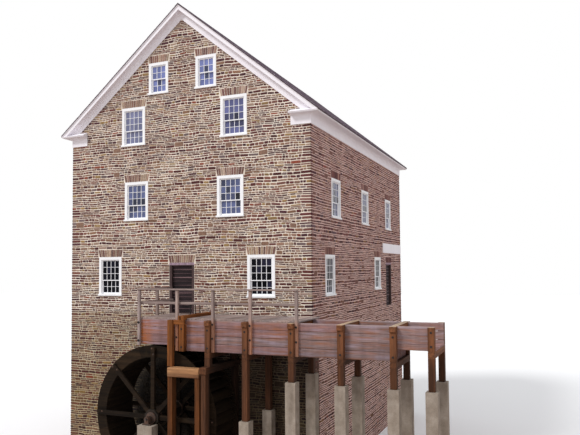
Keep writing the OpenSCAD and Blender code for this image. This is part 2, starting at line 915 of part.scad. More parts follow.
leaf_w = door_w - 2 * door_frame_w - 2 * leaf_gap;
hinge_x = -leaf_w / 2 - leaf_gap / 2;
hinge_y = frame_d + hinge_eye_r;
function leaf_h(h) = h - door_frame_w - threshold_t - 2 * leaf_gap;
function hinge_zs(h) = [
    for (share = [hinge_share, 1 - hinge_share]) threshold_t + leaf_gap + leaf_h(h) * share
];

module door_leaf(h) {
    z0 = threshold_t + leaf_gap;
    span(-leaf_w / 2, leaf_w / 2, frame_d - leaf_t, frame_d, z0, z0 + leaf_h(h));
    for (z = hinge_zs(h)) translate([hinge_x, hinge_y, z]) difference() {
        union() {
            cylinder(h = strap_h, r = hinge_eye_r);
            span(0, strap_l, -hinge_eye_r, strap_t - hinge_eye_r, 0, strap_h);
        }
        translate([0, 0, -over]) cylinder(h = strap_h + 2 * over, r = hinge_pin_r + seat_gap);
    }
}

module gable_door() {
    color(dark_wood) on_wall("wheel", 0, gable_sill_z) door_leaf(gable_door_h);
}

module gable_door_frame() {
    color(old_wood) on_wall("wheel", 0, gable_sill_z) door_frame(gable_door_h);
}

module entrance_door() {
    color(dark_wood) on_wall("entrance", entrance_door_y, first_floor_z)
        door_leaf(entrance_door_h);
}

module entrance_door_frame() {
    color(old_wood) on_wall("entrance", entrance_door_y, first_floor_z)
        door_frame(entrance_door_h);
}

module sign_board() {
    sign_z = entrance_split_z + sign_lift;
    y_far = back_y - sign_end;
    color(white) span(half_w, half_w + sign_t, y_far - sign_l, y_far, sign_z, sign_z + sign_h);
}

// Flume
// The planks of a straight length of trough, open above
module trough_length(x0, x1, z0) {
    difference() {
        span(x0, x1, near_y, far_y, z0, trough_top);
        span(x0 - over, x1 + over, near_y + plank_t, far_y - plank_t, z0 + plank_t,
             trough_top + over);
    }
}

// The two upright battens on each side of the channel that guide the gate
module gate_guides() {
    z_low = launder_z + plank_t;
    for (side = [-1, 1]) {
        x0 = side > 0 ? gate_x + gate_t / 2 + gate_gap : gate_x - gate_t / 2 - gate_gap - guide_w;
        span(x0, x0 + guide_w, near_y + plank_t, near_y + plank_t + guide_w, z_low, trough_top);
        span(x0, x0 + guide_w, far_y - plank_t - guide_w, far_y - plank_t, z_low, trough_top);
    }
}

module flume_trough() {
    color(old_wood) difference() {
        union() {
            trough_length(-launder_left, step_x, launder_z);
            trough_length(step_x - plank_t, tail_x, head_z);
            trough_length(tail_x - plank_t, end_x, tail_z);
            span(step_x - plank_t, step_x, near_y, far_y, head_z, launder_z + plank_t);
            span(tail_x - plank_t, tail_x, near_y, far_y, head_z, tail_z + plank_t);
            gate_guides();
        }
        for (x = yoke_xs) yoke_beam(x);
    }
}

// The beam of a yoke, let into the top of the planks
module yoke_beam(x) {
    span(x - yoke_w / 2, x + yoke_w / 2, near_y - post_out - yoke_ear, far_y + post_out + yoke_ear,
         trough_top - yoke_beam_h, trough_top);
}

module yoke_posts(x, z0, z1) {
    span(x - yoke_w / 2, x + yoke_w / 2, near_y - post_out, near_y - seat_gap, z0, z1);
    span(x - yoke_w / 2, x + yoke_w / 2, far_y + seat_gap, far_y + post_out, z0, z1);
}

// The underside of the planks at a yoke; the end yoke is the sixth
function yoke_foot_z(i) = i < 5 ? head_z : tail_z;
function yoke_x(i) = i < 5 ? yoke_xs[i] : end_yoke_x;

module flume_yokes() {
    color(brown_wood) {
        for (x = yoke_xs) {
            yoke_beam(x);
            yoke_posts(x, head_z, trough_top - yoke_beam_h - seat_gap);
        }
        yoke_posts(end_yoke_x, tail_z, trough_top);
        for (i = [0:5])
            span(yoke_x(i) - yoke_w / 2, yoke_x(i) + yoke_w / 2, near_y - post_out, far_y + post_out,
                 yoke_foot_z(i) - yoke_w, yoke_foot_z(i) - seat_gap);
        span(gate_post_x - yoke_w / 2, gate_post_right, near_y - post_out, near_y - seat_gap,
             gate_foot_z, trough_top - cap_beam_h);
        span(gate_post_x - yoke_w / 2, gate_post_right, far_y + seat_gap, far_y + post_out,
             gate_foot_z, trough_top);
        head_beams(seat_gap);
    }
}

// The two timbers over the gate, with its bars in the slot between them; low is the gap under them
module head_beams(low) {
    slot = bar_w / 2 + gate_gap;
    for (xs = [[gate_post_right - head_beam_w, gate_x - slot], [gate_x + slot, gate_post_right]])
        span(xs[0], xs[1], near_y - post_out, far_y + post_out,
             trough_top + low, trough_top + head_beam_h);
}

bar_ys = [for (i = [0:bar_n - 1]) (near_y + far_y) / 2 + (i - (bar_n - 1) / 2) * bar_step];

module flume_deck() {
    color(old_wood) difference() {
        span(-launder_left, deck_end_x, near_y, front_y, deck_z - deck_t, deck_z);
        span(gate_post_right - head_beam_w - seat_gap, gate_post_right + seat_gap, near_y - over,
             far_y + post_out + seat_gap, trough_top - over, deck_z + over);
    }
}

module flume_railing() {
    post_y0 = near_y - rail_post_w;
    rail_z = deck_z + rail_h;
    mid_z = deck_z + mid_rail_z;
    post_top = rail_z - hand_rail_t - seat_gap;
    last_x = rail_xs[4] + rail_post_w / 2;
    first_x = rail_xs[0] - rail_post_w / 2;
    end_post_y = front_y - end_post_y_gap;
    color(old_wood) {
        for (i = [0:4]) span(rail_xs[i] - rail_post_w / 2, rail_xs[i] + rail_post_w / 2,
                             post_y0, near_y, i < 1 ? launder_z - rail_post_drop : head_z, post_top);
        span(first_x, first_x + rail_post_w, end_post_y - rail_post_w / 2,
             end_post_y + rail_post_w / 2, deck_z, post_top);
        span(first_x, last_x, near_y - hand_rail_w, near_y, rail_z - hand_rail_t, rail_z);
        span(first_x, first_x + rail_post_w, near_y + seat_gap, front_y - seat_gap,
             rail_z - hand_rail_t, rail_z);
        span(first_x, last_x, near_y + seat_gap, near_y + mid_rail_t, mid_z - mid_rail_h, mid_z);
        span(first_x + rail_post_w + seat_gap, first_x + rail_post_w + mid_rail_t,
             near_y + mid_rail_t + seat_gap, front_y - seat_gap, mid_z - mid_rail_h, mid_z);
    }
}

function trestle_foot_z(i) = i == 1 ? low_pier_z : pier_z;
cross_beam_x = yoke_x_1 + yoke_w / 2 + cross_beam_ear - cross_beam_w;
cross_beam_z = beam_z + cross_beam_lift;

// The cross beam over the right side of the wheel, on a post at each end
module cross_beam() {
    x0 = cross_beam_x;
    z0 = cross_beam_z - cross_beam_h;
    post_x0 = x0 + (cross_beam_w - beam_post_w) / 2;
    span(x0, x0 + cross_beam_w, beam_front_y, front_y - seat_gap, z0, cross_beam_z);
    span(post_x0, post_x0 + beam_post_w, beam_front_y + beam_post_inset,
         front_back_y - beam_post_inset, 0, z0 - seat_gap);
    span(post_x0, post_x0 + beam_post_w, arms_far_y + cross_post_gap, front_y - seat_gap,
         0, z0 - seat_gap);
}

module flume_trestle() {
    color(brown_wood) {
        for (i = [1:5])
            yoke_posts(yoke_x(i), trestle_foot_z(i), yoke_foot_z(i) - yoke_w - seat_gap);
        yoke_posts(yoke_x_1, cross_beam_z + seat_gap, head_z - yoke_w - seat_gap);
        cross_beam();
    }
}

module concrete_piers() {
    color(concrete) {
        for (i = [1:5]) for (y = [near_y - post_out / 2, far_y + post_out / 2])
            span(yoke_x(i) - pier_w / 2, yoke_x(i) + pier_w / 2,
                 y - pier_w / 2, y + pier_w / 2, 0, trestle_foot_z(i));
        span(wheel_x - outer_pier_w / 2, wheel_x + outer_pier_w / 2,
             outer_bearing_y - outer_pier_front, outer_bearing_y + bearing_l + outer_pier_back,
             0, wheel_z - bearing_h);
    }
}

module sluice_gate() {
    z0 = launder_z + plank_t + seat_gap;
    gate_h = trough_top - gate_lift - gate_top_gap - z0;
    bar_top = deck_z + bar_z;
    color(brown_wood) {
        span(gate_x - gate_t / 2, gate_x + gate_t / 2, near_y + plank_t + gate_gap,
             far_y - plank_t - gate_gap, z0, z0 + gate_h);
        for (y = bar_ys)
            span(gate_x - bar_w / 2, gate_x + bar_w / 2, y - bar_w / 2, y + bar_w / 2,
                 z0 + gate_h, bar_top);
        span(gate_x - bar_w / 2, gate_x + bar_w / 2, bar_ys[0] - bar_w / 2 - bar_ear,
             bar_ys[bar_n - 1] + bar_w / 2 + bar_ear, bar_top, bar_top + bar_w);
    }
}

module wheel_front_frame() {
    post_x1 = front_post_x + front_post_w;
    beam_x0 = front_post_x + beam_start;
    color(brown_wood) {
        span(front_post_x, post_x1, front_back_y - front_post_t, front_back_y, beam_z, trough_top);
        span(post_x1, gate_post_right, near_y - post_out, near_y - rail_post_w,
             trough_top - cap_beam_h, trough_top);
        span(beam_x0, beam_x0 + beam_l, beam_front_y, front_back_y, beam_z - beam_h, beam_z);
        for (x = [beam_x0, beam_x0 + beam_l - beam_post_w])
            span(x, x + beam_post_w, beam_front_y + beam_post_inset,
                 front_back_y - beam_post_inset, 0, beam_z - beam_h);
    }
}

// Water wheel
// Puts its children on the wheel's axis, with local X and Y upright and local Z towards the viewer
module on_axle() {
    translate([wheel_x, wheel_far_y, wheel_z]) rotate([90, 0, 0]) children();
}

module ring(r_out, r_in, z0, z1) {
    translate([0, 0, z0]) difference() {
        cylinder(h = z1 - z0, r = r_out, $fn = 192);
        translate([0, 0, -over]) cylinder(h = z1 - z0 + 2 * over, r = r_in, $fn = 192);
    }
}

module wheel_rims() {
    color(dark_wood) on_axle() {
        ring(wheel_r, rim_in, 0, rim_t);
        ring(wheel_r, rim_in, wheel_w - rim_t, wheel_w);
    }
}

module wheel_sole() {
    color(dark_wood) on_axle() ring(sole_r, rim_in, rim_t, wheel_w - rim_t);
}

// The outline of one bucket: a floor board standing on the sole and a front board out to the rim
module bucket_shape() {
    knee = sole_r + riser_d;
    lip = wheel_r - lip_short;
    lip_x = lip * cos(lip_angle);
    lip_y = -lip * sin(lip_angle);
    front_len = sqrt(pow(lip_x - knee, 2) + pow(lip_y, 2));
    front_dir = atan2(lip_y, lip_x - knee);
    difference() {
        union() {
            translate([rim_in, -bucket_t / 2]) square([knee - rim_in, bucket_t]);
            translate([knee, 0]) rotate(front_dir) translate([-bucket_t / 2, -bucket_t / 2])
                square([front_len, bucket_t]);
        }
        circle(r = sole_r, $fn = 192);
    }
}

module wheel_buckets() {
    color(dark_wood) on_axle() for (i = [0:bucket_n - 1])
        rotate([0, 0, (i + 0.5) * 360 / bucket_n]) translate([0, 0, rim_t])
            linear_extrude(wheel_w - 2 * rim_t) bucket_shape();
}

module wheel_arms() {
    arm_end = wheel_r - arm_short;
    color(dark_wood) on_axle() for (z = [-arm_t, wheel_w]) for (i = [0:7])
        rotate([0, 0, i * 45])
            span(shaft_w / 2, arm_end, -arm_w / 2, arm_w / 2, z, z + arm_t);
}

shaft_z0 = wheel_far_y - shaft_far_y;
shaft_z1 = wheel_far_y - shaft_near_y;

module wheel_shaft() {
    color(dark_wood) on_axle() translate([0, 0, shaft_z0]) rotate([0, 0, 22.5])
        cylinder(h = shaft_z1 - shaft_z0, r = shaft_w / 2 / cos(22.5), $fn = 8);
}

// An iron hoop plate on an end of the shaft, with the gudgeon's hole through it
module shaft_collar(z0) {
    translate([0, 0, z0]) difference() {
        cylinder(h = collar_t, r = collar_r);
        translate([0, 0, -over]) cylinder(h = collar_t + 2 * over, r = gudgeon_r + seat_gap);
    }
}

module shaft_gudgeons() {
    inner_end = wheel_far_y - inner_y - drive_l;
    color(iron) on_axle() {
        shaft_collar(shaft_z1 + seat_gap);
        shaft_collar(shaft_z0 - collar_t - seat_gap);
        translate([0, 0, shaft_z1 + seat_gap])
            cylinder(h = collar_t + bearing_l + 2 * end_play, r = gudgeon_r);
        translate([0, 0, inner_end])
            cylinder(h = shaft_z0 - seat_gap - inner_end, r = gudgeon_r);
    }
}

// A plummer block from y0 along the shaft, its seat below the axis
module bearing(y0) {
    foot_w = 2 * (gudgeon_r + bearing_foot);
    shell_r = gudgeon_r + bearing_shell;
    translate([wheel_x, y0 + bearing_l, wheel_z]) rotate([90, 0, 0]) difference() {
        union() {
            span(-foot_w / 2, foot_w / 2, -bearing_h, bearing_foot_t - bearing_h, 0, bearing_l);
            span(-shell_r, shell_r, -bearing_h, 0, 0, bearing_l);
            cylinder(h = bearing_l, r = shell_r);
        }
        translate([0, 0, -over]) cylinder(h = bearing_l + 2 * over, r = gudgeon_r + bearing_gap);
    }
}

module shaft_bearings() {
    color(iron) {
        bearing(outer_bearing_y);
        bearing(-bearing_l / 2);
    }
}

wheel_wall_foot();
wheel_wall_left();
wheel_wall_right();
wheel_wall_gable();
entrance_wall_foot();
entrance_wall_near();
entrance_wall_far();
entrance_wall_upper();
door_arches();
back_wall();
left_wall();
floors();
left_roof_slope();
right_roof_slope();
ridge_cap();
eave_cornices();
rakes();
wheel_wall_windows();
wheel_wall_glass();
entrance_wall_windows();
entrance_wall_glass();
back_wall_windows();
back_wall_glass();
left_wall_windows();
left_wall_glass();
gable_door();
gable_door_frame();
entrance_door();
entrance_door_frame();
sign_board();
flume_trough();
flume_yokes();
flume_deck();
flume_railing();
flume_trestle();
concrete_piers();
sluice_gate();
wheel_front_frame();
wheel_shaft();
shaft_gudgeons();
shaft_bearings();
wheel_arms();
wheel_rims();
wheel_sole();
wheel_buckets();
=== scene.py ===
import random
from math import atan2, copysign, cos, hypot, pi, radians, sin, tan

import bpy
import numpy as np
from mathutils import Matrix, Vector


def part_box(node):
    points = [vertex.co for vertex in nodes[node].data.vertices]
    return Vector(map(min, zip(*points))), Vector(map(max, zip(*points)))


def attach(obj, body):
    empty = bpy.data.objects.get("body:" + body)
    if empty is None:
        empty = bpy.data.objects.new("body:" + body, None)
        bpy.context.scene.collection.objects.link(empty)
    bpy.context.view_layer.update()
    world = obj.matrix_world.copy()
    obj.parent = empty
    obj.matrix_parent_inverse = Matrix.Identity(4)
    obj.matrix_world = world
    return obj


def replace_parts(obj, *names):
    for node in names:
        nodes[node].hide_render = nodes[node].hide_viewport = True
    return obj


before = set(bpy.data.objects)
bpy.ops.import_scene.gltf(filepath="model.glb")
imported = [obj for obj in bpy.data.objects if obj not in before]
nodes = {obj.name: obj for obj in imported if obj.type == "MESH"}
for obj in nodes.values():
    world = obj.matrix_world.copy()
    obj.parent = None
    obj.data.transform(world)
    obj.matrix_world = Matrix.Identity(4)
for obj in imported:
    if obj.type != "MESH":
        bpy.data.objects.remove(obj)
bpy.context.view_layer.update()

scene = bpy.context.scene


def add_object(name, data):
    """A new object in the scene."""
    obj = bpy.data.objects.new(name, data)
    scene.collection.objects.link(obj)
    return obj


# Sizes repeated from the part's source, in metres: body, floors and roof
HALF_W, FRONT_Y, BODY_L = 5.38, -0.33, 14.1
BACK_Y = FRONT_Y + BODY_L
FIRST_FLOOR_Z, STOREY_H, DECK_Z, DECK_T = 6.04, 3.0, 6.29, 0.05
ROOF_ANGLE, RIDGE_Z, COVER_T = radians(39.26), 18.37, 0.06
EAVE_X, GABLE_OUT = 5.77, 0.3
RAKE_BOX, RAKE_FRIEZE, FRIEZE_H, FASCIA_H = 0.17, 0.31, 0.37, 0.045
rise = tan(ROOF_ANGLE)
# Windows, and the seat that all pieces have
CASING_W, SILL_T, SILL_EAR, FRAME_D, SASH_T, SEAT = 0.11, 0.065, 0.03, 0.13, 0.04, 0.0003
STILE_W, MEETING_H, BOTTOM_RAIL_H = 0.046, 0.034, 0.065
# Flume and its gate
TROUGH_TOP = DECK_Z - DECK_T
PLANK_T, NEAR_Y, FAR_Y = 0.06, FRONT_Y - 2.0, FRONT_Y - 0.4
INNER_NEAR, INNER_FAR = NEAR_Y + PLANK_T, FAR_Y - PLANK_T
LAUNDER_H, HEAD_H, TAIL_H = 0.9, 1.07, 0.71
STEP_X, TAIL_X = 1.521, 8.77
GATE_X, GATE_T, GATE_GAP, GUIDE_W = 1.34, 0.04, 0.006, 0.045
GATE_LIFT, GATE_TOP_GAP = 0.25, 0.05
YOKE_W, YOKE_BEAM_H, CAP_BEAM_H = 0.2, 0.17, 0.15
GATE_POST_RIGHT, HEAD_BEAM_W = 1.49, 0.23
BAR_W, BAR_STEP, BAR_Z = 0.03, 0.327, 0.42
FRONT_POST, BEAM_X, BEAM_Z = (0.85, 1.06), (0.98, 2.23), (4.33, 4.64)
# Wheel
WHEEL_X, WHEEL_Z, WHEEL_R, WHEEL_W = 0.12, 2.8, 2.5, 1.55
WHEEL_FAR_Y = FRONT_Y - 0.42
RIM_D, RIM_T = 0.42, 0.06
ARMS, ARM_W, ARM_T, ARM_SHORT = 8, 0.16, 0.1, 0.06
SHAFT_W = 0.56
SOLE_T, RISER_D, BUCKET_T, BUCKETS = 0.03, 0.17, 0.028, 40
LIP_SHORT, LIP_ANGLE = 0.012, radians(7.5)
# Doors
DOOR_W, DOOR_FRAME_W, THRESHOLD_T, LEAF_T, LEAF_GAP = 1.13, 0.09, 0.04, 0.045, 0.008
GABLE_DOOR_H, ENTRANCE_DOOR_H = 1.96, 2.21
DOOR_HEAD_Z = DECK_Z + GABLE_DOOR_H - DOOR_FRAME_W
ENTRANCE_DOOR_Y = FRONT_Y + BODY_L - 2.8
HINGE_SHARE, STRAP_L, STRAP_H, STRAP_T = 0.16, 0.52, 0.045, 0.006
HINGE_PIN_R, HINGE_EYE_R = 0.007, 0.013

# Camera, in the photo's 580 x 435 frame
yaw, pitch, roll = (radians(a) for a in (22.732, 2.615, -0.42))
forward = Vector((-sin(yaw) * cos(pitch), cos(yaw) * cos(pitch), sin(pitch)))
right = Vector((cos(yaw), sin(yaw), 0.0))
up = right.cross(forward)
across = right * cos(roll) + up * sin(roll)
over = up * cos(roll) - right * sin(roll)
camera_data = bpy.data.cameras.new("camera")
camera_data.sensor_width = 36
camera_data.lens = 38.4
camera_data.shift_y = 22.55 / 580
camera_data.clip_end = 400
scene.camera = add_object("camera", camera_data)
scene.camera.matrix_world = (Matrix.Translation((13.139, -20.819, 8.0))
                             @ Matrix((across, over, -forward)).transposed().to_4x4())
scene.view_settings.view_transform = "Standard"

# Materials, by name
M = {}
WHITE = (1, 1, 1)


class Nodes:
    """A short way to add and link nodes."""

    def __init__(self, tree):
        self.tree = tree

    def set(self, socket, value):
        """Links a socket to another one or gives it a value."""
        if isinstance(value, bpy.types.NodeSocket):
            self.tree.links.new(value, socket)
        else:
            socket.default_value = (*value, 1) if socket.type == "RGBA" else value

    def node(self, kind, inputs=(), **properties):
        n = self.tree.nodes.new("ShaderNode" + kind)
        for key, value in properties.items():
            setattr(n, key, value)
        for key, value in dict(inputs).items():
            self.set(n.inputs[key], value)
        return n

    def math(self, operation, a, b=0.0):
        return self.node("Math", {0: a, 1: b}, operation=operation).outputs[0]

    def mix(self, a, b, fac=1.0, mode="MULTIPLY"):
        """Colour b times a, by default, as far as fac says."""
        return self.node("Mix", {0: fac, 6: a, 7: b}, data_type="RGBA", blend_type=mode).outputs[2]

    def cover(self, a, b, fac):
        """Colour b over a, as far as fac says."""
        return self.mix(a, b, fac, "MIX")

    def seen(self):
        """1 for the camera's rays and for those that shiny or clear things send on, else 0."""
        path = self.node("LightPath").outputs
        direct = self.math("MAXIMUM", path["Is Camera Ray"], path["Is Glossy Ray"])
        return self.math("MAXIMUM", direct, path["Is Transmission Ray"])


class Shader(Nodes):
    """A node material round one Principled shader, kept in M."""

    def __init__(self, name, roughness, specular):
        self.mat = M[name] = bpy.data.materials.new(name)
        self.mat.use_nodes = True
        super().__init__(self.mat.node_tree)
        self.bsdf = self.tree.nodes["Principled BSDF"]
        self.bsdf.inputs["Roughness"].default_value = roughness
        self.bsdf.inputs["Specular IOR Level"].default_value = specular
        self.coords = self.node("TexCoord").outputs["Object"]

    def noise(self, scale, detail=4, stretch=WHITE, roughness=0.55, distortion=0.0):
        place = self.node("Mapping", {"Vector": self.coords, "Scale": stretch}).outputs["Vector"]
        return self.node("TexNoise", {"Vector": place, "Scale": scale, "Detail": detail,
                                      "Roughness": roughness, "Distortion": distortion}).outputs["Fac"]

    def ramp(self, fac, low, high, start=0.3, end=0.7):
        """A colour that goes from low to high as fac goes from start to end."""
        n = self.node("ValToRGB", {"Fac": fac})
        for point, place, colour in zip(n.color_ramp.elements, (start, end), (low, high)):
            point.position = place
            point.color = (*colour, 1)
        return n.outputs["Color"]

    def grey(self, fac, low, high, start=0.3, end=0.7):
        return self.ramp(fac, (low,) * 3, (high,) * 3, start, end)

    def tint(self):
        return self.node("Attribute", attribute_name="tint").outputs["Color"]

    def part(self, vector, letter):
        return self.node("SeparateXYZ", {0: vector}).outputs[letter]

    def spread(self, value, low, high):
        """0 to 1 as a value goes from low to high."""
        return self.node("MapRange", {"Value": value, "From Min": low, "From Max": high}).outputs["Result"]

    def axis(self, letter, low, high):
        """0 to 1 as a coordinate goes from low to high."""
        return self.spread(self.part(self.coords, letter), low, high)

    def reach(self, centre, near, far):
        """0 within a distance of a point, going to 1 further out."""
        away = self.node("VectorMath", {0: self.coords, 1: centre}, operation="DISTANCE")
        return self.spread(away.outputs["Value"], near, far)

    def sideways(self):
        """1 on faces that look along X and 0 on those that look along Y or Z."""
        return self.math("ABSOLUTE", self.part(self.node("TexCoord").outputs["Normal"], "X"))

    def finish(self, colour, bump=None, strength=0.4, distance=0.01):
        self.set(self.bsdf.inputs["Base Color"], colour)
        if bump is not None:
            n = self.node("Bump", {"Strength": strength, "Distance": distance, "Height": bump})
            self.set(self.bsdf.inputs["Normal"], n.outputs["Normal"])


# Painted shade: mauve casts of colour on the walls that look sideways
SHADED_SIDE_MORTAR, SHADED_SIDE_STONES = (0.84, 0.67, 0.7), (0.84, 0.665, 0.745)
# The walls are darker from the second height down to the first
LOW_DARKENING_Z = (3.0, 10.0)
# The gable is dark under the flume, right of the first distance and below the first height
SHADOW_X, SHADOW_Z = (1.6, 2.4), (5.25, 4.75)


def mortar_material(name, damp=False):
    """Cream lime mortar with a painted mauve shade on the side walls. With damp it is near black round the
    wheel from damp and painted shade, carries a painted shadow under the flume right of the wheel, and is
    darker and browner low down.
    """
    s = Shader(name, 0.95, 0.2)
    tone = s.ramp(s.noise(1.3, 5), (0.67, 0.56, 0.47), (0.94, 0.86, 0.74))
    colour = s.mix(s.mix(tone, SHADED_SIDE_MORTAR, s.sideways()), s.grey(s.noise(160, 3), 0.8, 1.12))
    if damp:
        # Damp and painted shade, near black round the wheel
        dry_and_lit = s.reach((WHEEL_X, FRONT_Y, WHEEL_Z), 2.1, 3.2)
        colour = s.mix(colour, s.ramp(dry_and_lit, (0.035, 0.03, 0.025), WHITE, 0.0, 1.0))
        # Painted shadow under the flume, right of the wheel
        shadow = s.math("MULTIPLY", s.axis("X", *SHADOW_X), s.axis("Z", *SHADOW_Z))
        colour = s.mix(colour, (0.16, 0.14, 0.12), s.math("MULTIPLY", shadow, 0.9))
        colour = s.mix(colour, s.ramp(s.axis("Z", *LOW_DARKENING_Z), (0.54, 0.49, 0.37), WHITE, 0.0, 1.0))
    s.finish(colour, s.noise(90), 0.5, 0.006)


def stone_material():
    s = Shader("stone", 0.88, 0.3)
    mottled = s.mix(s.tint(), s.grey(s.noise(16, 6, (1, 1, 1.6)), 0.72, 1.26))
    cloud = s.ramp(s.noise(0.32), (0.92, 0.9, 0.95), (1.06, 1.05, 0.98), 0.35, 0.65)
    speckled = s.mix(mottled, s.grey(s.noise(120, 3), 0.84, 1.14))
    s.finish(s.mix(speckled, cloud), s.noise(38, 6), 0.6, 0.012)


def paint_material(name, low, high):
    s = Shader(name, 0.6, 0.3)
    streak = s.grey(s.noise(6, 4, (1, 1, 0.15)), 0.975, 1.015, 0.25, 0.7)
    s.finish(s.mix(s.ramp(s.noise(2.2, 5), low, high), streak), s.noise(40, 5, (1, 1, 0.12)), 0.04, 0.003)


def wood_material(name, along, tones, rough=0.85, stain=None, specular=0.25, tinted=True):
    """Weathered wood with its grain along one axis, tinted board by board."""
    s = Shader(name, rough, specular)
    stretch = [0.06 if letter == along else 1.0 for letter in "XYZ"]
    fine = s.noise(55, 6, stretch, 0.6, 0.4)
    broad = s.noise(9, 4, stretch, 0.5, 0.8)
    colour = s.mix(s.ramp(broad, *tones, 0.25, 0.75), s.grey(fine, 0.66, 1.2, 0.3, 0.66))
    if tinted:
        colour = s.mix(colour, s.tint())
    if stain:
        colour = stain(s, colour)
    s.finish(colour, fine, 0.6, 0.006)


def flume_stain(s, colour):
    """Rust-orange runs at the open left end, patches of it along the planks and a pale top edge."""
    end = s.grey(s.axis("X", 0.2, -0.45), 0.0, 1.0, 0.1, 0.8)
    runs = s.grey(s.noise(7, 4, (1, 1, 0.14)), 0.3, 1.0, 0.36, 0.58)
    colour = s.cover(colour, (0.42, 0.12, 0.022), s.mix(end, runs))
    for scale, stretch, most, start, stop, stain in (
            (9, (0.1, 1, 1.0), 0.75, 0.46, 0.66, (0.3, 0.115, 0.055)),
            (14, (0.08, 1, 1.0), 0.6, 0.52, 0.7, (0.38, 0.3, 0.36)),
            (0.9, WHITE, 0.45, 0.54, 0.72, (0.3, 0.11, 0.045))):
        colour = s.cover(colour, stain, s.grey(s.noise(scale, 4, stretch), 0.0, most, start, stop))
    drips = s.grey(s.noise(4, 3, (1, 1, 0.1)), 0.86, 1.05, 0.34, 0.6)
    top = s.grey(s.axis("Z", TROUGH_TOP - 0.07, TROUGH_TOP - 0.01), 0.0, 0.55, 0.2, 0.9)
    worn = s.cover(s.mix(colour, drips), (0.42, 0.36, 0.36), s.mix(top, s.grey(s.noise(3), 0.3, 1.0)))
    # The planks are darker towards the foot of the trough
    foot = TROUGH_TOP - HEAD_H
    return s.mix(worn, s.grey(s.axis("Z", foot, foot + 0.45), 0.66, 0.97, 0.0, 1.0))


def lintel_light(s, colour):
    """Painted light and shade: the head of a door frame is painted lighter and its jambs darker. Both heads
    are level.
    """
    head = s.axis("Z", DOOR_HEAD_Z - 0.01, DOOR_HEAD_Z + 0.01)
    return s.mix(colour, s.ramp(head, (0.44, 0.4, 0.37), (2.1, 2.2, 2.6), 0.0, 1.0))


def wheel_stain(s, colour):
    """A green-brown film where the wet timber stays damp."""
    return s.cover(colour, (0.03, 0.02, 0.009), s.grey(s.noise(3.5, 5), 0.0, 0.4, 0.55, 0.76))


def shingle_material(name, colour=None):
    s = Shader(name, 0.9, 0.2)
    fine = s.noise(70, 5, (0.12, 1, 0.12), 0.6)
    lined = s.mix(colour or s.tint(), s.grey(fine, 0.7, 1.22))
    s.finish(s.mix(lined, s.grey(s.noise(0.6), 0.82, 1.12)), fine, 0.5, 0.005)


def concrete_material():
    s = Shader("concrete", 0.92, 0.25)
    tone = s.ramp(s.noise(3.0, 6), (0.25, 0.2, 0.155), (0.4, 0.34, 0.28))
    pitted = s.mix(tone, s.grey(s.noise(45, 5), 0.82, 1.08))
    streak = s.grey(s.noise(5, 4, (1, 1, 0.1)), 0.8, 1.08)
    s.finish(s.mix(pitted, streak), s.noise(60, 5), 0.4, 0.006)


def iron_materials():
    """Rusted iron of the wheel and hinges, and black iron of bolts and gate."""
    s = Shader("iron", 0.6, 0.5)
    s.bsdf.inputs["Metallic"].default_value = 0.35
    s.finish(s.ramp(s.noise(14, 6), (0.035, 0.028, 0.026), (0.13, 0.06, 0.032), 0.35, 0.72),
             s.noise(80), 0.35, 0.003)
    s = Shader("black_iron", 0.7, 0.25)
    s.finish(s.ramp(s.noise(20), (0.012, 0.011, 0.013), (0.035, 0.028, 0.026)))


def glass_material(name, roughness, specular):
    s = Shader(name, roughness, specular)
    s.finish(s.mix(s.tint(), s.grey(s.noise(2.5, 2), 0.88, 1.1)), s.noise(3.0, 2), 0.05, 0.01)


def roof_edge_material():
    """The shingles' edge, painted dark for their butts and the shadow under their overhang, above a
    cream-white fillet along the gables.
    """
    edge_t = 0.04
    s = Shader("roof_edge", 0.9, 0.2)
    x, y, z = (s.part(s.coords, letter) for letter in "XYZ")
    run = s.math("MULTIPLY", s.math("ABSOLUTE", x), rise)
    below = s.math("SUBTRACT", RIDGE_Z, s.math("ADD", run, z))
    fillet = s.math("GREATER_THAN", below, edge_t / cos(ROOF_ANGLE))
    off_middle = s.math("ABSOLUTE", s.math("SUBTRACT", y, (FRONT_Y + BACK_Y) / 2))
    at_gable = s.math("GREATER_THAN", off_middle, BODY_L / 2 + GABLE_OUT - 0.004)
    # Dark butts with painted shadow under the overhang
    dark = s.mix((0.085, 0.06, 0.075), s.grey(s.noise(70, 5), 0.7, 1.22))
    s.finish(s.cover(dark, (0.86, 0.82, 0.8), s.math("MULTIPLY", fillet, at_gable)))


def floor_material():
    s = Shader("inner_floor", 0.8, 0.2)
    tone = s.ramp(s.noise(8, 5, (0.08, 1, 1)), (0.16, 0.1, 0.06), (0.27, 0.18, 0.11))
    boards = s.node("TexWave", {"Vector": s.coords, "Scale": 2.2}, wave_type="BANDS", bands_direction="Y")
    seams = s.grey(boards.outputs["Fac"], 0.55, 1.0, 0.0, 0.06)
    s.finish(s.mix(tone, seams), s.noise(60, 4, (0.08, 1, 1)), 0.3, 0.004)


# Dark and light tone of each wood
GREY = ((0.2, 0.108, 0.1), (0.37, 0.225, 0.225))
RAIL = ((0.23, 0.165, 0.15), (0.42, 0.33, 0.3))
BROWN = ((0.08, 0.026, 0.006), (0.31, 0.098, 0.02))
# The wheel's wood is dark from water, and painted darker still as shade
WHEEL = ((0.004, 0.0022, 0.0012), (0.024, 0.014, 0.0075))
DOOR = ((0.012, 0.007, 0.009), (0.075, 0.046, 0.05))
FRAME = ((0.1, 0.065, 0.07), (0.22, 0.15, 0.155))

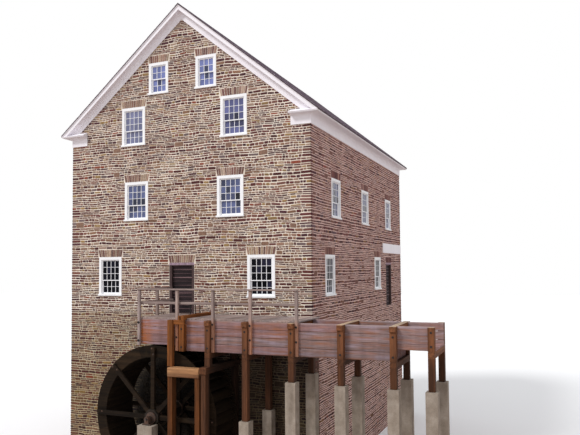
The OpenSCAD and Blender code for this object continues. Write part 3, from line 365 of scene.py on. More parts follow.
mortar_material("mortar")
mortar_material("damp_and_shaded_mortar", damp=True)
stone_material()
paint_material("white_paint", (0.89, 0.9, 0.92), (0.95, 0.955, 0.97))
paint_material("trim_paint", (0.9, 0.87, 0.92), (0.94, 0.92, 0.96))
shingle_material("shingle")
shingle_material("ridge", (0.15, 0.115, 0.13))
roof_edge_material()
iron_materials()
concrete_material()
glass_material("glass", 0.12, 0.32)
glass_material("dark_glass", 0.25, 0.06)
floor_material()
wood_material("plank", "X", GREY, stain=flume_stain)
wood_material("door_frame", "Z", FRAME, stain=lintel_light, tinted=False)
wood_material("shaft", "Y", WHEEL, 0.75, wheel_stain, tinted=False)
wood_material("rim", "X", WHEEL, 0.85, wheel_stain, 0.12)
for letter in "XYZ":
    wood_material("grey_" + letter.lower(), letter, RAIL)
    wood_material("brown_" + letter.lower(), letter, BROWN)
    wood_material("door_" + letter.lower(), letter, DOOR)
    wood_material("wheel_" + letter.lower(), letter, WHEEL, 0.85, wheel_stain, 0.12)
BROWN_WOODS = ("brown_x", "brown_y", "brown_z")
GREY_WOODS = ("grey_x", "grey_y", "grey_z")


# Meshes
def clamp(value):
    return min(1.0, max(0.0, value))


class Builder:
    """Collects the vertices, faces, tints and material picks of a piece. seed can be another's rng."""

    def __init__(self, seed=0):
        self.rng = seed if isinstance(seed, random.Random) else random.Random(seed)
        self.verts, self.faces, self.tints, self.picks = [], [], [], []

    def add(self, verts, faces, tint=WHITE, pick=0):
        """tint is one colour, or a list of one for each vertex."""
        base = len(self.verts)
        self.verts.extend(verts)
        self.faces.extend(tuple(base + i for i in f) for f in faces)
        self.tints.extend(tint if isinstance(tint, list) else [tint] * len(verts))
        self.picks.extend([pick] * len(faces))

    def piece(self, name, materials, body, slot):
        """Makes the mesh object, which rides on a body."""
        mesh = bpy.data.meshes.new(name)
        mesh.from_pydata([tuple(v) for v in self.verts], [], self.faces)
        for material in materials:
            mesh.materials.append(M[material])
        mesh.polygons.foreach_set("material_index", np.asarray(self.picks, np.int32))
        layer = mesh.color_attributes.new("tint", "FLOAT_COLOR", "POINT")
        colours = np.ones((len(self.verts), 4), np.float32)
        colours[:, :3] = np.asarray(self.tints, np.float32)
        layer.data.foreach_set("color", colours.ravel())
        mesh.update()
        obj = add_object(name, mesh)
        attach(obj, body)
        return obj


def loft(rings, sides, closed=False, foot=True):
    """Faces along rings of vertices: closed on themselves, or with a head and perhaps a foot."""
    faces = []
    for k in range(rings if closed else rings - 1):
        low, high = k * sides, (k + 1) % rings * sides
        faces += [(low + i, low + (i + 1) % sides, high + (i + 1) % sides, high + i) for i in range(sides)]
    if foot and not closed:
        faces.append(tuple(reversed(range(sides))))
    if not closed:
        faces.append(tuple(range((rings - 1) * sides, rings * sides)))
    return faces


def circle(radius, sides, start=0.0):
    """Points round a circle, as (across, up)."""
    angles = [start + 2 * pi * i / sides for i in range(sides)]
    return [(radius * cos(a), radius * sin(a)) for a in angles]


def timber(b, lo, hi, pick=0, tint=None, edge=0.006, step=0.45, warp=0.0015, place=None, shade=None):
    """A sawn timber in the box from lo to hi: rounded edges, slightly uneven along its length.

    shade gives three factors for the tint at a point."""
    rng = b.rng
    lo, hi = np.array(lo, float), np.array(hi, float)
    size = hi - lo
    a = int(np.argmax(size))
    u, v = {0: (1, 2), 1: (2, 0), 2: (0, 1)}[a]
    c = min(edge, size[u] / 3, size[v] / 3)
    n = max(1, int(round(size[a] / step)))
    ring = [(c, 0), (size[u] - c, 0), (size[u], c), (size[u], size[v] - c),
            (size[u] - c, size[v]), (c, size[v]), (0, size[v] - c), (0, c)]
    # The first two and the last two stations make the worn ends
    stations = [0.0] + [i / n for i in range(n + 1)] + [1.0]
    last = len(stations) - 1
    verts = []
    for k, t in enumerate(stations):
        inset = c if k in (0, last) else 0.0
        along = lo[a] + size[a] * t
        if k == 1:
            along += c
        if k == last - 1:
            along -= c
        du, dv = (rng.uniform(0, warp) for _ in range(2))
        for (x, y) in ring:
            x = min(max(x, inset + du), size[u] - inset - rng.uniform(0, warp))
            y = min(max(y, inset + dv), size[v] - inset - rng.uniform(0, warp))
            p = [0.0, 0.0, 0.0]
            p[a], p[u], p[v] = along, lo[u] + x, lo[v] + y
            verts.append(tuple(p))
    if place is not None:
        verts = [place(p) for p in verts]
    if tint is None:
        g = rng.uniform(0.8, 1.16)
        warmth = rng.uniform(-0.04, 0.04)
        tint = (g * (1 + warmth), g, g * (1 - warmth))
    if shade is not None:
        tint = [tuple(t * s for t, s in zip(tint, shade(p))) for p in verts]
    b.add(verts, loft(last + 1, 8), tint, pick)


def bolt(b, centre, normal, radius, height, washer=True):
    """A six-sided bolt head, perhaps with its washer, standing on a face at centre."""
    n = Vector(normal).normalized()
    s = n.orthogonal().normalized()
    t = n.cross(s)
    rings = [(radius * 1.7, 0.0), (radius * 1.7, 0.004)] if washer else []
    rings += [(radius, 0.004 if washer else 0.0), (radius, height * 0.8), (radius * 0.8, height)]
    verts = [tuple(Vector(centre) + n * h + s * x + t * y) for (r, h) in rings for (x, y) in circle(r, 6)]
    b.add(verts, loft(len(rings), 6, foot=False))


def parts_of(name):
    """The boxes of a CAD node's separate solids, as (low corner, high corner)."""
    mesh = nodes[name].data
    co = np.empty(len(mesh.vertices) * 3)
    mesh.vertices.foreach_get("co", co)
    co = co.reshape(-1, 3)
    _, weld = np.unique(np.round(co, 5), axis=0, return_inverse=True)
    weld = weld.ravel()
    parent = list(range(weld.max() + 1))

    def root(i):
        while parent[i] != i:
            parent[i] = parent[parent[i]]
            i = parent[i]
        return i

    for e in mesh.edges:
        i, j = root(weld[e.vertices[0]]), root(weld[e.vertices[1]])
        if i != j:
            parent[i] = j
    groups = {}
    for i, w in enumerate(weld):
        groups.setdefault(root(w), []).append(i)
    boxes = [(co[g].min(0), co[g].max(0)) for g in groups.values()]
    return sorted(boxes, key=lambda q: tuple(np.round(np.concatenate(q), 4)))


def dress(names, material, edge=None):
    """Gives CAD nodes a material and, where edge is a width, rounded edges."""
    for name in names.split():
        nodes[name].data.materials.clear()
        nodes[name].data.materials.append(M[material])
        if edge:
            m = nodes[name].modifiers.new("edges", "BEVEL")
            m.width = edge
            m.segments = 2
            m.limit_method = "ANGLE"
            m.angle_limit = radians(40)


# Walls as flat fields: u along the wall, z up and a distance out of the wall
ARCH_H, ARCH_SIDE, UNDER_TRIM = 0.32, 0.05, 0.1
CASING_MIN_W, CASING_MIN_H = 0.93, 1.1
SIDE_TOP = RIDGE_Z - COVER_T - (EAVE_X - 0.005) * rise - FASCIA_H - FRIEZE_H + UNDER_TRIM


def gable_top(u):
    """The height at which the stones pass under the raking frieze."""
    return RIDGE_Z - COVER_T - rise * abs(u) - RAKE_BOX - RAKE_FRIEZE + UNDER_TRIM


class Field:
    """One face of the building: where it lies, its openings and its two corners."""

    def __init__(self, name, to_world, ends, gable, sign, corners, door=()):
        self.name, self.to_world, self.gable, self.corners = name, to_world, gable, corners
        self.u0, self.u1 = ends
        # (middle, half width, bottom, top) of each window, from its casing
        self.windows, axis = [], 0 if gable else 1
        for lo, hi in parts_of(name + "_windows"):
            wide = hi[axis] - lo[axis]
            if wide >= CASING_MIN_W and hi[2] - lo[2] >= CASING_MIN_H:
                middle = sign * (lo[axis] + hi[axis]) / 2
                self.windows.append((middle, wide / 2 - SILL_EAR, lo[2], hi[2]))
        rows = self.windows + list(door)
        self.holes = [(u - half, u + half, z0, z1) for (u, half, z0, z1) in rows]
        self.arches = [(u - half - ARCH_SIDE, u + half + ARCH_SIDE, z1, z1 + ARCH_H)
                       for (u, half, z0, z1) in rows]


# Corners are numbered round the building from the front left
fields = [
    Field("wheel_wall", lambda u, out, z: (u, FRONT_Y - out, z), (-HALF_W, HALF_W), True, 1, (0, 1),
          [(0.0, DOOR_W / 2, DECK_Z, DECK_Z + GABLE_DOOR_H)]),
    Field("back_wall", lambda u, out, z: (-u, BACK_Y + out, z), (-HALF_W, HALF_W), True, -1, (2, 3)),
    Field("entrance_wall", lambda u, out, z: (HALF_W + out, u, z), (FRONT_Y, BACK_Y), False, 1, (1, 2),
          [(ENTRANCE_DOOR_Y, DOOR_W / 2, FIRST_FLOOR_Z, FIRST_FLOOR_Z + ENTRANCE_DOOR_H)]),
    Field("left_wall", lambda u, out, z: (-HALF_W - out, -u, z), (-BACK_Y, -FRONT_Y), False, -1, (3, 0)),
]
# The hole for the wheel's shaft, sideways, down and up from its axis
HOLE_SIDE, HOLE_DOWN, HOLE_UP = 0.23, 0.2, 0.23
fields[0].holes.append((WHEEL_X - HOLE_SIDE, WHEEL_X + HOLE_SIDE, WHEEL_Z - HOLE_DOWN, WHEEL_Z + HOLE_UP))

# Stone colours, each with its share
STONES = [
    ((0.076, 0.02, 0.02), 15), ((0.115, 0.034, 0.032), 16), ((0.07, 0.025, 0.032), 9),
    ((0.19, 0.08, 0.063), 18), ((0.225, 0.122, 0.076), 15), ((0.26, 0.155, 0.115), 11),
    ((0.29, 0.185, 0.08), 7), ((0.35, 0.25, 0.19), 8), ((0.24, 0.062, 0.036), 2.5),
    ((0.165, 0.12, 0.12), 6),
]
STONE_SUM = sum(share for _, share in STONES)
THIN_JOINT, JOINT, SUNK = 0.006, 0.008, 0.004
MIN_W, MIN_H, MAX_ROUND = 0.025, 0.014, 0.085
TALL_STONE = (0.235, 0.14, 0.1)
ARCH_STONE_W = 0.1
ARCH_STONES = ((0.21, 0.11, 0.088), (0.29, 0.18, 0.14), (0.4, 0.29, 0.215), (0.165, 0.08, 0.07))
QUOIN_LONG, QUOIN_SHORT, QUOIN_OUT = (0.28, 0.46), (0.14, 0.24), 0.012
# Swing of the courses, how proud the stones stand, slack in their heights, share of tall ones, and
# a factor on their lengths
GABLE_STYLE = (1.0, (0.009, 0.019), 0.17, 0.018, 0.9)
SIDE_STYLE = (0.45, (0.004, 0.01), 0.25, 0.06, 1.0)


def stone_tint(rng):
    pick = rng.uniform(0, STONE_SUM)
    for colour, share in STONES:
        pick -= share
        if pick <= 0:
            break
    g = rng.uniform(0.78, 1.24)
    return tuple(c * g for c in colour)


def damp_and_painted_shade(field, u, z):
    """The tint of a stone: near black round the wheel from damp and painted shade, a painted shadow under
    the flume right of the wheel, darker and browner low down, and a painted mauve shade on the side walls.
    """
    up = clamp((z - LOW_DARKENING_Z[0]) / (LOW_DARKENING_Z[1] - LOW_DARKENING_Z[0]))
    shade = [0.61 + 0.39 * up, 0.56 + 0.44 * up, 0.4 + 0.6 * up]
    if field.name == "wheel_wall":
        # wet holds damp and painted shade round the wheel, then the painted shadow under the flume
        t = clamp((hypot(u - WHEEL_X, z - WHEEL_Z) - 2.2) / 0.9)
        wet = 0.06 + 0.94 * t * t * (3 - 2 * t)
        wet *= 1 - 0.8 * clamp((u - SHADOW_X[0]) / 0.8) * clamp((SHADOW_Z[0] - z) / 0.5)
        shade = [v * wet for v in shade]
    # Painted mauve shade on the side walls
    if not field.gable:
        shade = [v * c for v, c in zip(shade, SHADED_SIDE_STONES)]
    return shade


def cut_out(rect, hole):
    """What is left of a rectangle (u0, u1, z0, z1) outside a hole."""
    u0, u1, z0, z1 = rect
    a0, a1, b0, b1 = hole
    if a1 <= u0 or a0 >= u1 or b1 <= z0 or b0 >= z1:
        return [rect]
    m0, m1 = max(u0, a0), min(u1, a1)
    rests = [(u0, a0, z0, z1), (a1, u1, z0, z1), (m0, m1, z0, b0), (m0, m1, b1, z1)]
    return [r for r, some in zip(rests, (a0 > u0, a1 < u1, b0 > z0, b1 < z1)) if some]


class Mason:
    """Lays the stones of one wall in wavy courses."""

    def __init__(self, field, seed):
        self.field, self.b = field, Builder(seed)
        self.rng = self.b.rng
        self.blocks = field.holes + field.arches
        self.swing, self.proud, self.slack, self.tall_share, self.short = (
            GABLE_STYLE if field.gable else SIDE_STYLE)

    def wave(self, u, z):
        """How far the courses rise and fall, dying out at openings and corners."""
        f = self.field
        free = min(u - f.u0, f.u1 - u, z) / 0.5
        for a0, a1, b0, b1 in self.blocks:
            away = max(a0 - u, u - a1, b0 - z, z - b1, 0.0)
            free = min(free, away / 0.25)
        return self.swing * clamp(free) * (
            0.016 * sin(2.3 * u + 2 * sin(1.9 * z))
            + 0.011 * sin(5.3 * u + 3.1 * z) + 0.005 * sin(11.7 * u - 7.3 * z))

    def block(self, outline, face, faces, tint):
        """Adds the rim of a stone, sunk into the mortar, with its face and sides."""
        place, n = self.field.to_world, len(outline)
        base = [place(u, -SUNK, z) for (u, z) in outline]
        sides = [(i, (i + 1) % n, n + (i + 1) % n, n + i) for i in range(n)]
        self.b.add(base + face, faces + sides, tint)

    def stone(self, u0, u1, z0, z1, joint=JOINT, tint=None, corner=0):
        """One stone: a rounded eight-cornered face with worn edges, proud of the mortar."""
        r = self.rng.uniform
        joint_u, joint_z = joint * 0.85, joint * 0.95
        u0, u1 = u0 + joint_u, u1 - joint_u
        if corner < 0:
            u0 -= joint_u + QUOIN_OUT
        if corner > 0:
            u1 += joint_u + QUOIN_OUT
        z0, z1 = z0 + joint_z, z1 - joint_z
        w, h = u1 - u0, z1 - z0
        if w < MIN_W or h < MIN_H:
            return
        depth = r(*self.proud)
        slack = min(0.015, h * self.slack)
        z0, z1 = z0 + r(0, slack), z1 - r(0, slack)
        h = z1 - z0

        def cut(at_corner):
            if at_corner:
                return 0.003, 0.003
            reach = min(h, MAX_ROUND)
            return min(reach * r(0.08, 0.5), w * 0.22), reach * r(0.1, 0.36)

        (xa, za), (xb, zb), (xc, zc), (xd, zd) = (cut(corner * side > 0) for side in (-1, 1, 1, -1))
        outline = [(u0, z0 + za), (u0 + xa, z0), (u1 - xb, z0), (u1, z0 + zb),
                   (u1, z1 - zc), (u1 - xc, z1), (u0 + xd, z1), (u0, z1 - zd)]
        low_0, low_1, high_1, high_0 = (self.wave(*outline[i]) for i in (0, 3, 4, 7))
        along = [0, xa / w, 1 - xb / w, 1, 1, 1 - xc / w, xd / w, 0]
        lifts = [(low_0, low_1)] * 4 + [(high_0, high_1)] * 4
        outline = [(u, z + (a * (1 - t) + c * t)) for (u, z), t, (a, c) in zip(outline, along, lifts)]
        cu, cz = (u0 + u1) / 2, (z0 + z1) / 2
        worn_u, worn_z = min(0.01, w * 0.12), min(0.01, h * 0.17)
        tilt = r(-0.003, 0.003)
        face = []
        for (u, z) in outline:
            side = (u - cu) * 2 / w
            fu = u if (corner and side * corner > 0.9) else u - worn_u * side
            fz = z - worn_z * (z - cz) * 2 / h
            face.append(self.field.to_world(fu, QUOIN_OUT if corner else depth + tilt * side, fz))
        shade = damp_and_painted_shade(self.field, cu, cz)
        self.block(outline, face, [tuple(range(8, 16))],
                   tuple(v * c for v, c in zip(tint or stone_tint(self.rng), shade)))

    def row(self, a, c, z0, z1, lengths, joint=JOINT):
        """Stones side by side from a to c."""
        at = a
        while at < c - 1e-6:
            length = self.rng.choice(lengths) * self.rng.uniform(0.85, 1.2) * self.short
            if c - at - length < 0.12:
                length = c - at
                if length > 0.45:
                    length *= 0.5
            self.stone(at, at + length, z0, z1, joint)
            at += length

    def quoin(self, side, k, z0, z1):
        """The corner stone of course k and its inner edge; the two walls share its colour."""
        f = self.field
        seed = f.corners[side > 0] * 1000 + k
        shared = random.Random(seed)
        length = shared.uniform(*(QUOIN_LONG if (shared.random() < 0.5) == f.gable else QUOIN_SHORT))
        edge = f.u0 if side < 0 else f.u1
        inner = edge - side * length
        self.stone(min(edge, inner), max(edge, inner), z0, z1, 0.007, stone_tint(random.Random(seed)), side)
        return inner

    def tall_stone(self, at, run, q0, q1, top):
        """A stone two courses high with a row beside it, and the place that it takes above, if it fits."""
        f = self.field
        wide = min(run, self.rng.uniform(0.24, 0.44))
        extra = (at, at + wide, q1, top)
        limit = gable_top(max(abs(at), abs(at + wide))) if f.gable else SIDE_TOP
        if top >= limit or not all(cut_out(extra, hole) == [extra] for hole in self.blocks):
            return []
        self.stone(at, at + wide, q0, top, tint=TALL_STONE)
        if run - wide > 0.05:
            self.row(at + wide, at + run, q0, q1, (0.16, 0.24, 0.32))
        return [extra]

    def course(self, k, z0, z1, tall):
        """Lays course k round the openings and the tall stones that rise into it."""
        f, rng = self.field, self.rng
        u0, u1 = f.u0, f.u1
        full = True
        if f.gable:
            reach = (gable_top(0) - z1) / rise
            if reach < 0.12:
                return False, []
            full = reach > f.u1
            u0, u1 = max(u0, -reach), min(u1, reach)
        elif z1 > SIDE_TOP:
            return False, []
        if full:
            u0, u1 = self.quoin(-1, k, z0, z1), self.quoin(1, k, z0, z1)
        rects = [(u0, u1, z0, z1)]
        for hole in self.blocks + tall:
            rects = [piece for rect in rects for piece in cut_out(rect, hole)]
        rising = []
        for (a, c, q0, q1) in rects:
            if c - a < 0.06 or q1 - q0 < 0.022:
                continue
            if q1 - q0 < 0.06 or c - a < 0.35:
                self.row(a, c, q0, q1, (0.18, 0.24, 0.3), 0.007)
                continue
            at = a
            while at < c - 1e-6:
                run = min(rng.uniform(0.35, 1.5), c - at)
                if c - at - run < 0.25:
                    run = c - at
                pick = rng.random()
                if q1 - q0 > 0.088 and pick < 0.24:
                    mid = q0 + (q1 - q0) * rng.uniform(0.42, 0.58)
                    for low, high in ((q0, mid), (mid, q1)):
                        self.row(at, at + run, low, high, (0.16, 0.22, 0.3, 0.38), THIN_JOINT)
                elif pick > 1 - self.tall_share and k + 2 < len(levels):
                    extra = self.tall_stone(at, run, q0, q1, levels[k + 2])
                    rising += extra
                    if not extra:
                        self.row(at, at + run, q0, q1, (0.16, 0.22, 0.28, 0.36))
                else:
                    self.row(at, at + run, q0, q1, (0.12, 0.15, 0.19, 0.24, 0.3, 0.38))
                at += run
        return True, rising

    def voussoir(self, e0, e1, q0, q1, mid, tint):
        """An upright stone of a flat arch, leaning out from the middle."""
        rng, lean = self.rng, 0.1
        q0, q1 = q0 + 0.004, q1 - 0.012 - rng.uniform(0, 0.02)

        def at(e, z):
            share = (z - q0) / (q1 - q0)
            return mid + (e - mid) * (1 - lean + lean * share)

        top = q1 - rng.uniform(0, 0.01)
        outline = [(at(e0, q0) + JOINT, q0), (at(e1, q0) - JOINT, q0),
                   (at(e1, top) - JOINT, top), (at(e0, q1) + JOINT, q1)]
        cu, cz = sum(u for u, _ in outline) / 4, (q0 + q1) / 2
        depth, worn = rng.uniform(0.01, 0.016), 0.006
        face = [self.field.to_world(u + copysign(worn, cu - u), depth, z + copysign(worn, cz - z))
                for (u, z) in outline]
        self.block(outline, face, [(4, 5, 6, 7)], tint)

    def arch(self, a, c, q0, q1):
        """A flat arch of upright stones over an opening."""
        rng = self.rng
        edges = [0.0]
        for _ in range(int(round((c - a) / ARCH_STONE_W))):
            edges.append(edges[-1] + rng.uniform(0.8, 1.25))
        edges = [a + (c - a) * e / edges[-1] for e in edges]
        shade = damp_and_painted_shade(self.field, a, q0)
        for e0, e1 in zip(edges, edges[1:]):
            g = rng.uniform(0.75, 1.25)
            tint = tuple(v * g * c for v, c in zip(rng.choice(ARCH_STONES), shade))
            self.voussoir(e0, e1, q0, q1, (a + c) / 2, tint)

    def build(self):
        laid, tall, k = True, [], 0
        while laid and k < len(levels) - 1:
            laid, tall = self.course(k, levels[k], levels[k + 1], tall)
            k += 1
        for arch in self.field.arches:
            self.arch(*arch)
        self.b.piece(self.field.name + "_stones", ["stone"], "mill", "stone")


# Heights of the courses, the same on all four walls
level_rng = random.Random(41)
levels = [0.0]
while levels[-1] < 18.0:
    levels.append(levels[-1] + level_rng.choice((0.07, 0.08, 0.088, 0.098, 0.112, 0.124)))

for index, field in enumerate(fields):
    Mason(field, 100 + index).build()
dress("wheel_wall_foot", "damp_and_shaded_mortar")
dress("wheel_wall_left wheel_wall_right wheel_wall_gable door_arches back_wall entrance_wall_foot "
      "entrance_wall_near entrance_wall_far entrance_wall_upper left_wall", "mortar")

# Windows: bars and panes
UPRIGHT_BAR, LEVEL_BAR, PANE_IN, PANE_T = 0.019, 0.015, 0.018, 0.004
# Only the attic's windows are lower than ATTIC_MAX_H; the others' sills stand SILL_UP over their floor
ATTIC_MAX_H, SILL_UP = 1.4, 0.9
# Painted reflections: what the panes mirror on each storey, and in the calmer windows; the lowest storey's
# panes are painted near black
PANE_REFLECTIONS = ((0.004, 0.004, 0.008), (0.095, 0.115, 0.235), (0.12, 0.128, 0.285), (0.16, 0.19, 0.41))
CALM_PANE_REFLECTION = (0.15, 0.16, 0.265)


def lay_windows(field, seed):
    """Sash bars, and panes that each lie a little differently and carry their own painted reflection."""
    bars, panes = Builder(seed), Builder()
    rng, place = bars.rng, field.to_world

    def bar(u0, u1, y0, y1, z0, z1):
        v = [place(u, -y, z) for u in (u0, u1) for y in (y0, y1) for z in (z0, z1)]
        bars.add(v, [(0, 1, 3, 2), (4, 6, 7, 5), (0, 4, 5, 1), (2, 3, 7, 6), (0, 2, 6, 4), (1, 5, 7, 3)])

    def pane(u0, u1, y, z0, z1, tint, dark):
        d = [rng.uniform(-0.0012, 0.0012) for _ in range(4)]
        corners = ((u0, z0), (u1, z0), (u1, z1), (u0, z1))
        v = [place(u, -(y + e), z) for (u, z), e in zip(corners, d)]
        v += [place(u, -(y + PANE_T), z) for (u, z) in corners]
        sides = [(i, 4 + i, 4 + (i + 1) % 4, (i + 1) % 4) for i in range(4)]
        panes.add(v, [(0, 1, 2, 3), (7, 6, 5, 4)] + sides, tint, 1 if dark else 0)

    outer_y = (FRAME_D - 2 * SASH_T - SEAT) / 2
    inner_y = outer_y + SASH_T + SEAT
    for (u, half, z0, z1) in field.windows:
        attic = z1 - z0 < ATTIC_MAX_H
        storey = 3 if attic else int(round((z0 - FIRST_FLOOR_Z - SILL_UP) / STOREY_H))
        cols = 3 if attic else 4
        meet = z0 + SILL_T + (z1 - z0 - SILL_T - CASING_W) * (0.5 if attic else 0.4)
        side = half - CASING_W - SEAT - STILE_W
        calm = storey == 2 and u < 0
        base = CALM_PANE_REFLECTION if calm else PANE_REFLECTIONS[min(3, max(0, storey))]
        for (y, g0, g1, count, upper) in (
                (inner_y, z0 + SILL_T + SEAT + BOTTOM_RAIL_H, meet + MEETING_H / 2 - MEETING_H, 2, False),
                (outer_y, meet - MEETING_H / 2 + MEETING_H, z1 - CASING_W - SEAT - STILE_W,
                 2 if attic else 3, True)):
            for i in range(1, cols):
                x = u - side + 2 * side * i / cols
                bar(x - UPRIGHT_BAR / 2, x + UPRIGHT_BAR / 2, y + 0.004, y + SASH_T - 0.006, g0, g1)
            for i in range(1, count):
                z = g0 + (g1 - g0) * i / count
                bar(u - side, u + side, y + 0.005, y + SASH_T - 0.007, z - LEVEL_BAR / 2, z + LEVEL_BAR / 2)
            for i in range(cols):
                for j in range(count):
                    # Each pane's painted reflection is made stronger or weaker at random
                    g = rng.uniform(0.72, 1.22)
                    if calm:
                        g = 0.5 + 0.6 * g
                    elif upper and j == 0 and not attic and storey > 0:
                        g *= rng.choice((0.25, 0.4, 0.6, 0.8))
                    if storey == 0:
                        g *= rng.choice((0.5, 1.0, 1.0, 1.6, 5.0))
                    elif rng.random() < 0.18 and not calm:
                        g *= 0.35
                    a0, a1 = (u - side + 2 * side * n / cols for n in (i, i + 1))
                    b0, b1 = (g0 + (g1 - g0) * n / count for n in (j, j + 1))
                    pane(a0, a1, y + PANE_IN, b0, b1, tuple(c * g for c in base), storey == 0)
    bars.piece(field.name + "_window_bars", ["white_paint"], "mill", "white_paint")
    glass = panes.piece(field.name + "_panes", ["glass", "dark_glass"], "mill", "glass")
    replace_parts(glass, field.name + "_glass")


for index, field in enumerate(fields):
    lay_windows(field, 300 + index)
    dress(field.name + "_windows", "white_paint", 0.004)

# Cornices
dress("eave_cornices rakes sign_board", "trim_paint", 0.004)

# Roof
SHINGLES = ((0.27, 0.222, 0.262), (0.31, 0.26, 0.298), (0.235, 0.188, 0.225), (0.35, 0.305, 0.335),
            (0.285, 0.225, 0.25), (0.2, 0.16, 0.195), (0.4, 0.36, 0.385))
SHINGLE_CAST = (0.95, 0.93, 1.0)
# A shingle's head, under the next course, is painted dark as shadow
SHINGLE_SHOW, SHINGLE_HEAD_SHADE, SHINGLE_END = 0.14, 0.42, 1.12


def lay_shingles(name, side, seed):
    """Shingles in courses up one slope, each with a painted shadow under the next one."""
    b = Builder(seed)
    rng = b.rng
    c, s = cos(ROOF_ANGLE), sin(ROOF_ANGLE)
    y0, y1 = FRONT_Y - GABLE_OUT, BACK_Y + GABLE_OUT

    def place(d, y, out):
        # d runs down the slope from the ridge, out stands off the covering
        return (side * min(d * c + out * s, EAVE_X - 0.001), y, RIDGE_Z - d * s + out * c)

    d1 = EAVE_X / c - 0.01
    while d1 > 0.16:
        d0 = max(d1 - SHINGLE_SHOW - 0.03, 0.02)
        y = y0 - rng.uniform(0, 0.08)
        while y < y1:
            w = rng.choice((0.09, 0.11, 0.13, 0.15, 0.18)) * rng.uniform(0.9, 1.1)
            a, e = max(y, y0), min(y + w - 0.004, y1)
            y += w
            if e - a < 0.02:
                continue
            butt = d1 - rng.uniform(0, 0.008)
            t = 0.013 + rng.uniform(0, 0.003)
            v = [place(d0, a, 0.002), place(d0, e, 0.002), place(butt, e, t), place(butt, a, t),
                 place(butt, e, 0.0), place(butt, a, 0.0), place(d0, a, 0.0), place(d0, e, 0.0)]
            f = [(0, 3, 2, 1), (3, 5, 4, 2), (0, 6, 5, 3), (1, 2, 4, 7)]
            if side < 0:
                f = [tuple(reversed(q)) for q in f]
            g = rng.uniform(0.88, 1.12)
            colour = rng.choice(SHINGLES)
            course_shade = [SHINGLE_HEAD_SHADE] * 2 + [SHINGLE_END] * 2 + [rng.uniform(0.3, 2.2)] * 2 + [SHINGLE_HEAD_SHADE] * 2
            b.add(v, f, [tuple(q * g * k * cast for q, cast in zip(colour, SHINGLE_CAST)) for k in course_shade])
        d1 -= SHINGLE_SHOW
    b.piece(name, ["shingle"], "mill", "shingle")


lay_shingles("right_shingles", 1, 501)
lay_shingles("left_shingles", -1, 502)
dress("left_roof_slope right_roof_slope", "roof_edge")
dress("ridge_cap", "ridge")
dress("floors", "inner_floor")


# Flume
def lay_trough():
    """Planks of the sides, the floor and its two steps, and the guides of the gate."""
    b = Builder(701)
    x_lo, x_hi = (float(corner[0]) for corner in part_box("flume_trough"))
    gap, rows, floor_rows = 0.006, 4, 6
    pitch = HEAD_H / rows
    launder_z, head_z, tail_z = TROUGH_TOP - LAUNDER_H, TROUGH_TOP - HEAD_H, TROUGH_TOP - TAIL_H
    notches = sorted({round(float((a[0] + c[0]) / 2), 3) for a, c in parts_of("flume_yokes")
                      if c[1] - a[1] > 1.9 and a[2] < TROUGH_TOP - 0.1 < c[2]})

    def side_planks(xa, xb, z0, near):
        ya, yb = (NEAR_Y, INNER_NEAR) if near else (INNER_FAR, FAR_Y)
        inside = [n for n in notches if xa < n < xb]
        for i in range(rows):
            q1 = TROUGH_TOP - pitch * i
            q0 = max(z0, q1 - pitch)
            if q1 - q0 < 0.02:
                break
            if i == 0:
                cuts = sorted([xa, xb] + [n + s * YOKE_W / 2 for n in inside for s in (-1, 1)])
            else:
                joints = [inside[(i * 2 + (0 if near else 1)) % len(inside)]] if inside else []
                cuts = sorted([xa, xb] + joints)
            for a, c in zip(cuts, cuts[1:]):
                under_beam = i == 0 and any(abs((a + c) / 2 - n) < 0.01 for n in inside)
                top = TROUGH_TOP - YOKE_BEAM_H if under_beam else q1
                grey = b.rng.uniform(0.84, 1.14)
                # Planks that reach the last bay are less red
                tint = (grey, grey, grey) if c < TAIL_X - 0.07 else (grey, grey * 1.18, grey * 1.16)
                timber(b, (a + gap / 2, ya, q0 + (gap if q0 > z0 else 0)), (c - gap / 2, yb, top),
                       edge=0.012, warp=0.003, tint=tint)

    def floor_planks(xa, xb, z0):
        for i in range(floor_rows):
            q0, q1 = (INNER_NEAR + (INNER_FAR - INNER_NEAR) * n / floor_rows for n in (i, i + 1))
            timber(b, (xa, q0, z0), (xb, q1 - gap, z0 + PLANK_T))

    step_in, tail_in = STEP_X - PLANK_T, TAIL_X - PLANK_T
    for near in (True, False):
        side_planks(x_lo, step_in, launder_z, near)
        side_planks(step_in, TAIL_X, head_z, near)
        side_planks(TAIL_X, x_hi, tail_z, near)
    floor_planks(x_lo, STEP_X, launder_z)
    floor_planks(STEP_X, tail_in, head_z)
    floor_planks(tail_in, x_hi, tail_z)
    for x, z_top in ((step_in, launder_z), (tail_in, tail_z)):
        timber(b, (x, INNER_NEAR, head_z), (x + PLANK_T, INNER_FAR, z_top - 0.001))
    for x in (GATE_X + GATE_T / 2 + GATE_GAP, GATE_X - GATE_T / 2 - GATE_GAP - GUIDE_W):
        for y in (INNER_NEAR, INNER_FAR - GUIDE_W):
            timber(b, (x, y, launder_z + PLANK_T), (x + GUIDE_W, y + GUIDE_W, TROUGH_TOP), pick=1)
    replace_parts(b.piece("trough_planks", ["plank", "grey_z"], "mill", "grey_wood"), "flume_trough")


def painted_shade_and_top_light(p):
    """Painted shade under the flume, near black beside the wheel and darker low down, greyer far off, and a
    painted highlight on the tops of the far beams.
    """
    x, y, z = p
    # Painted highlight on the tops of the far beams
    if z > TROUGH_TOP - 0.004 and x > 4:
        return (1.9, 4.3, 14.0)
    # Painted shade under the flume, deepest beside the wheel
    under = clamp((5.35 - z) / 0.3)
    near_wheel = clamp((2.9 - x) / 0.5)
    behind = clamp((y - NEAR_Y + 0.32) / 0.25)
    low = 0.72 if z < 5.2 else 1.0
    dark = low * (1.0 - (0.45 + 0.4 * near_wheel) * under * behind)
    grey = clamp((x - 1.6) / 0.8)
    return (dark * (1 - 0.22 * grey), dark * (1 - 0.08 * grey), dark * (1 + 0.8 * grey))


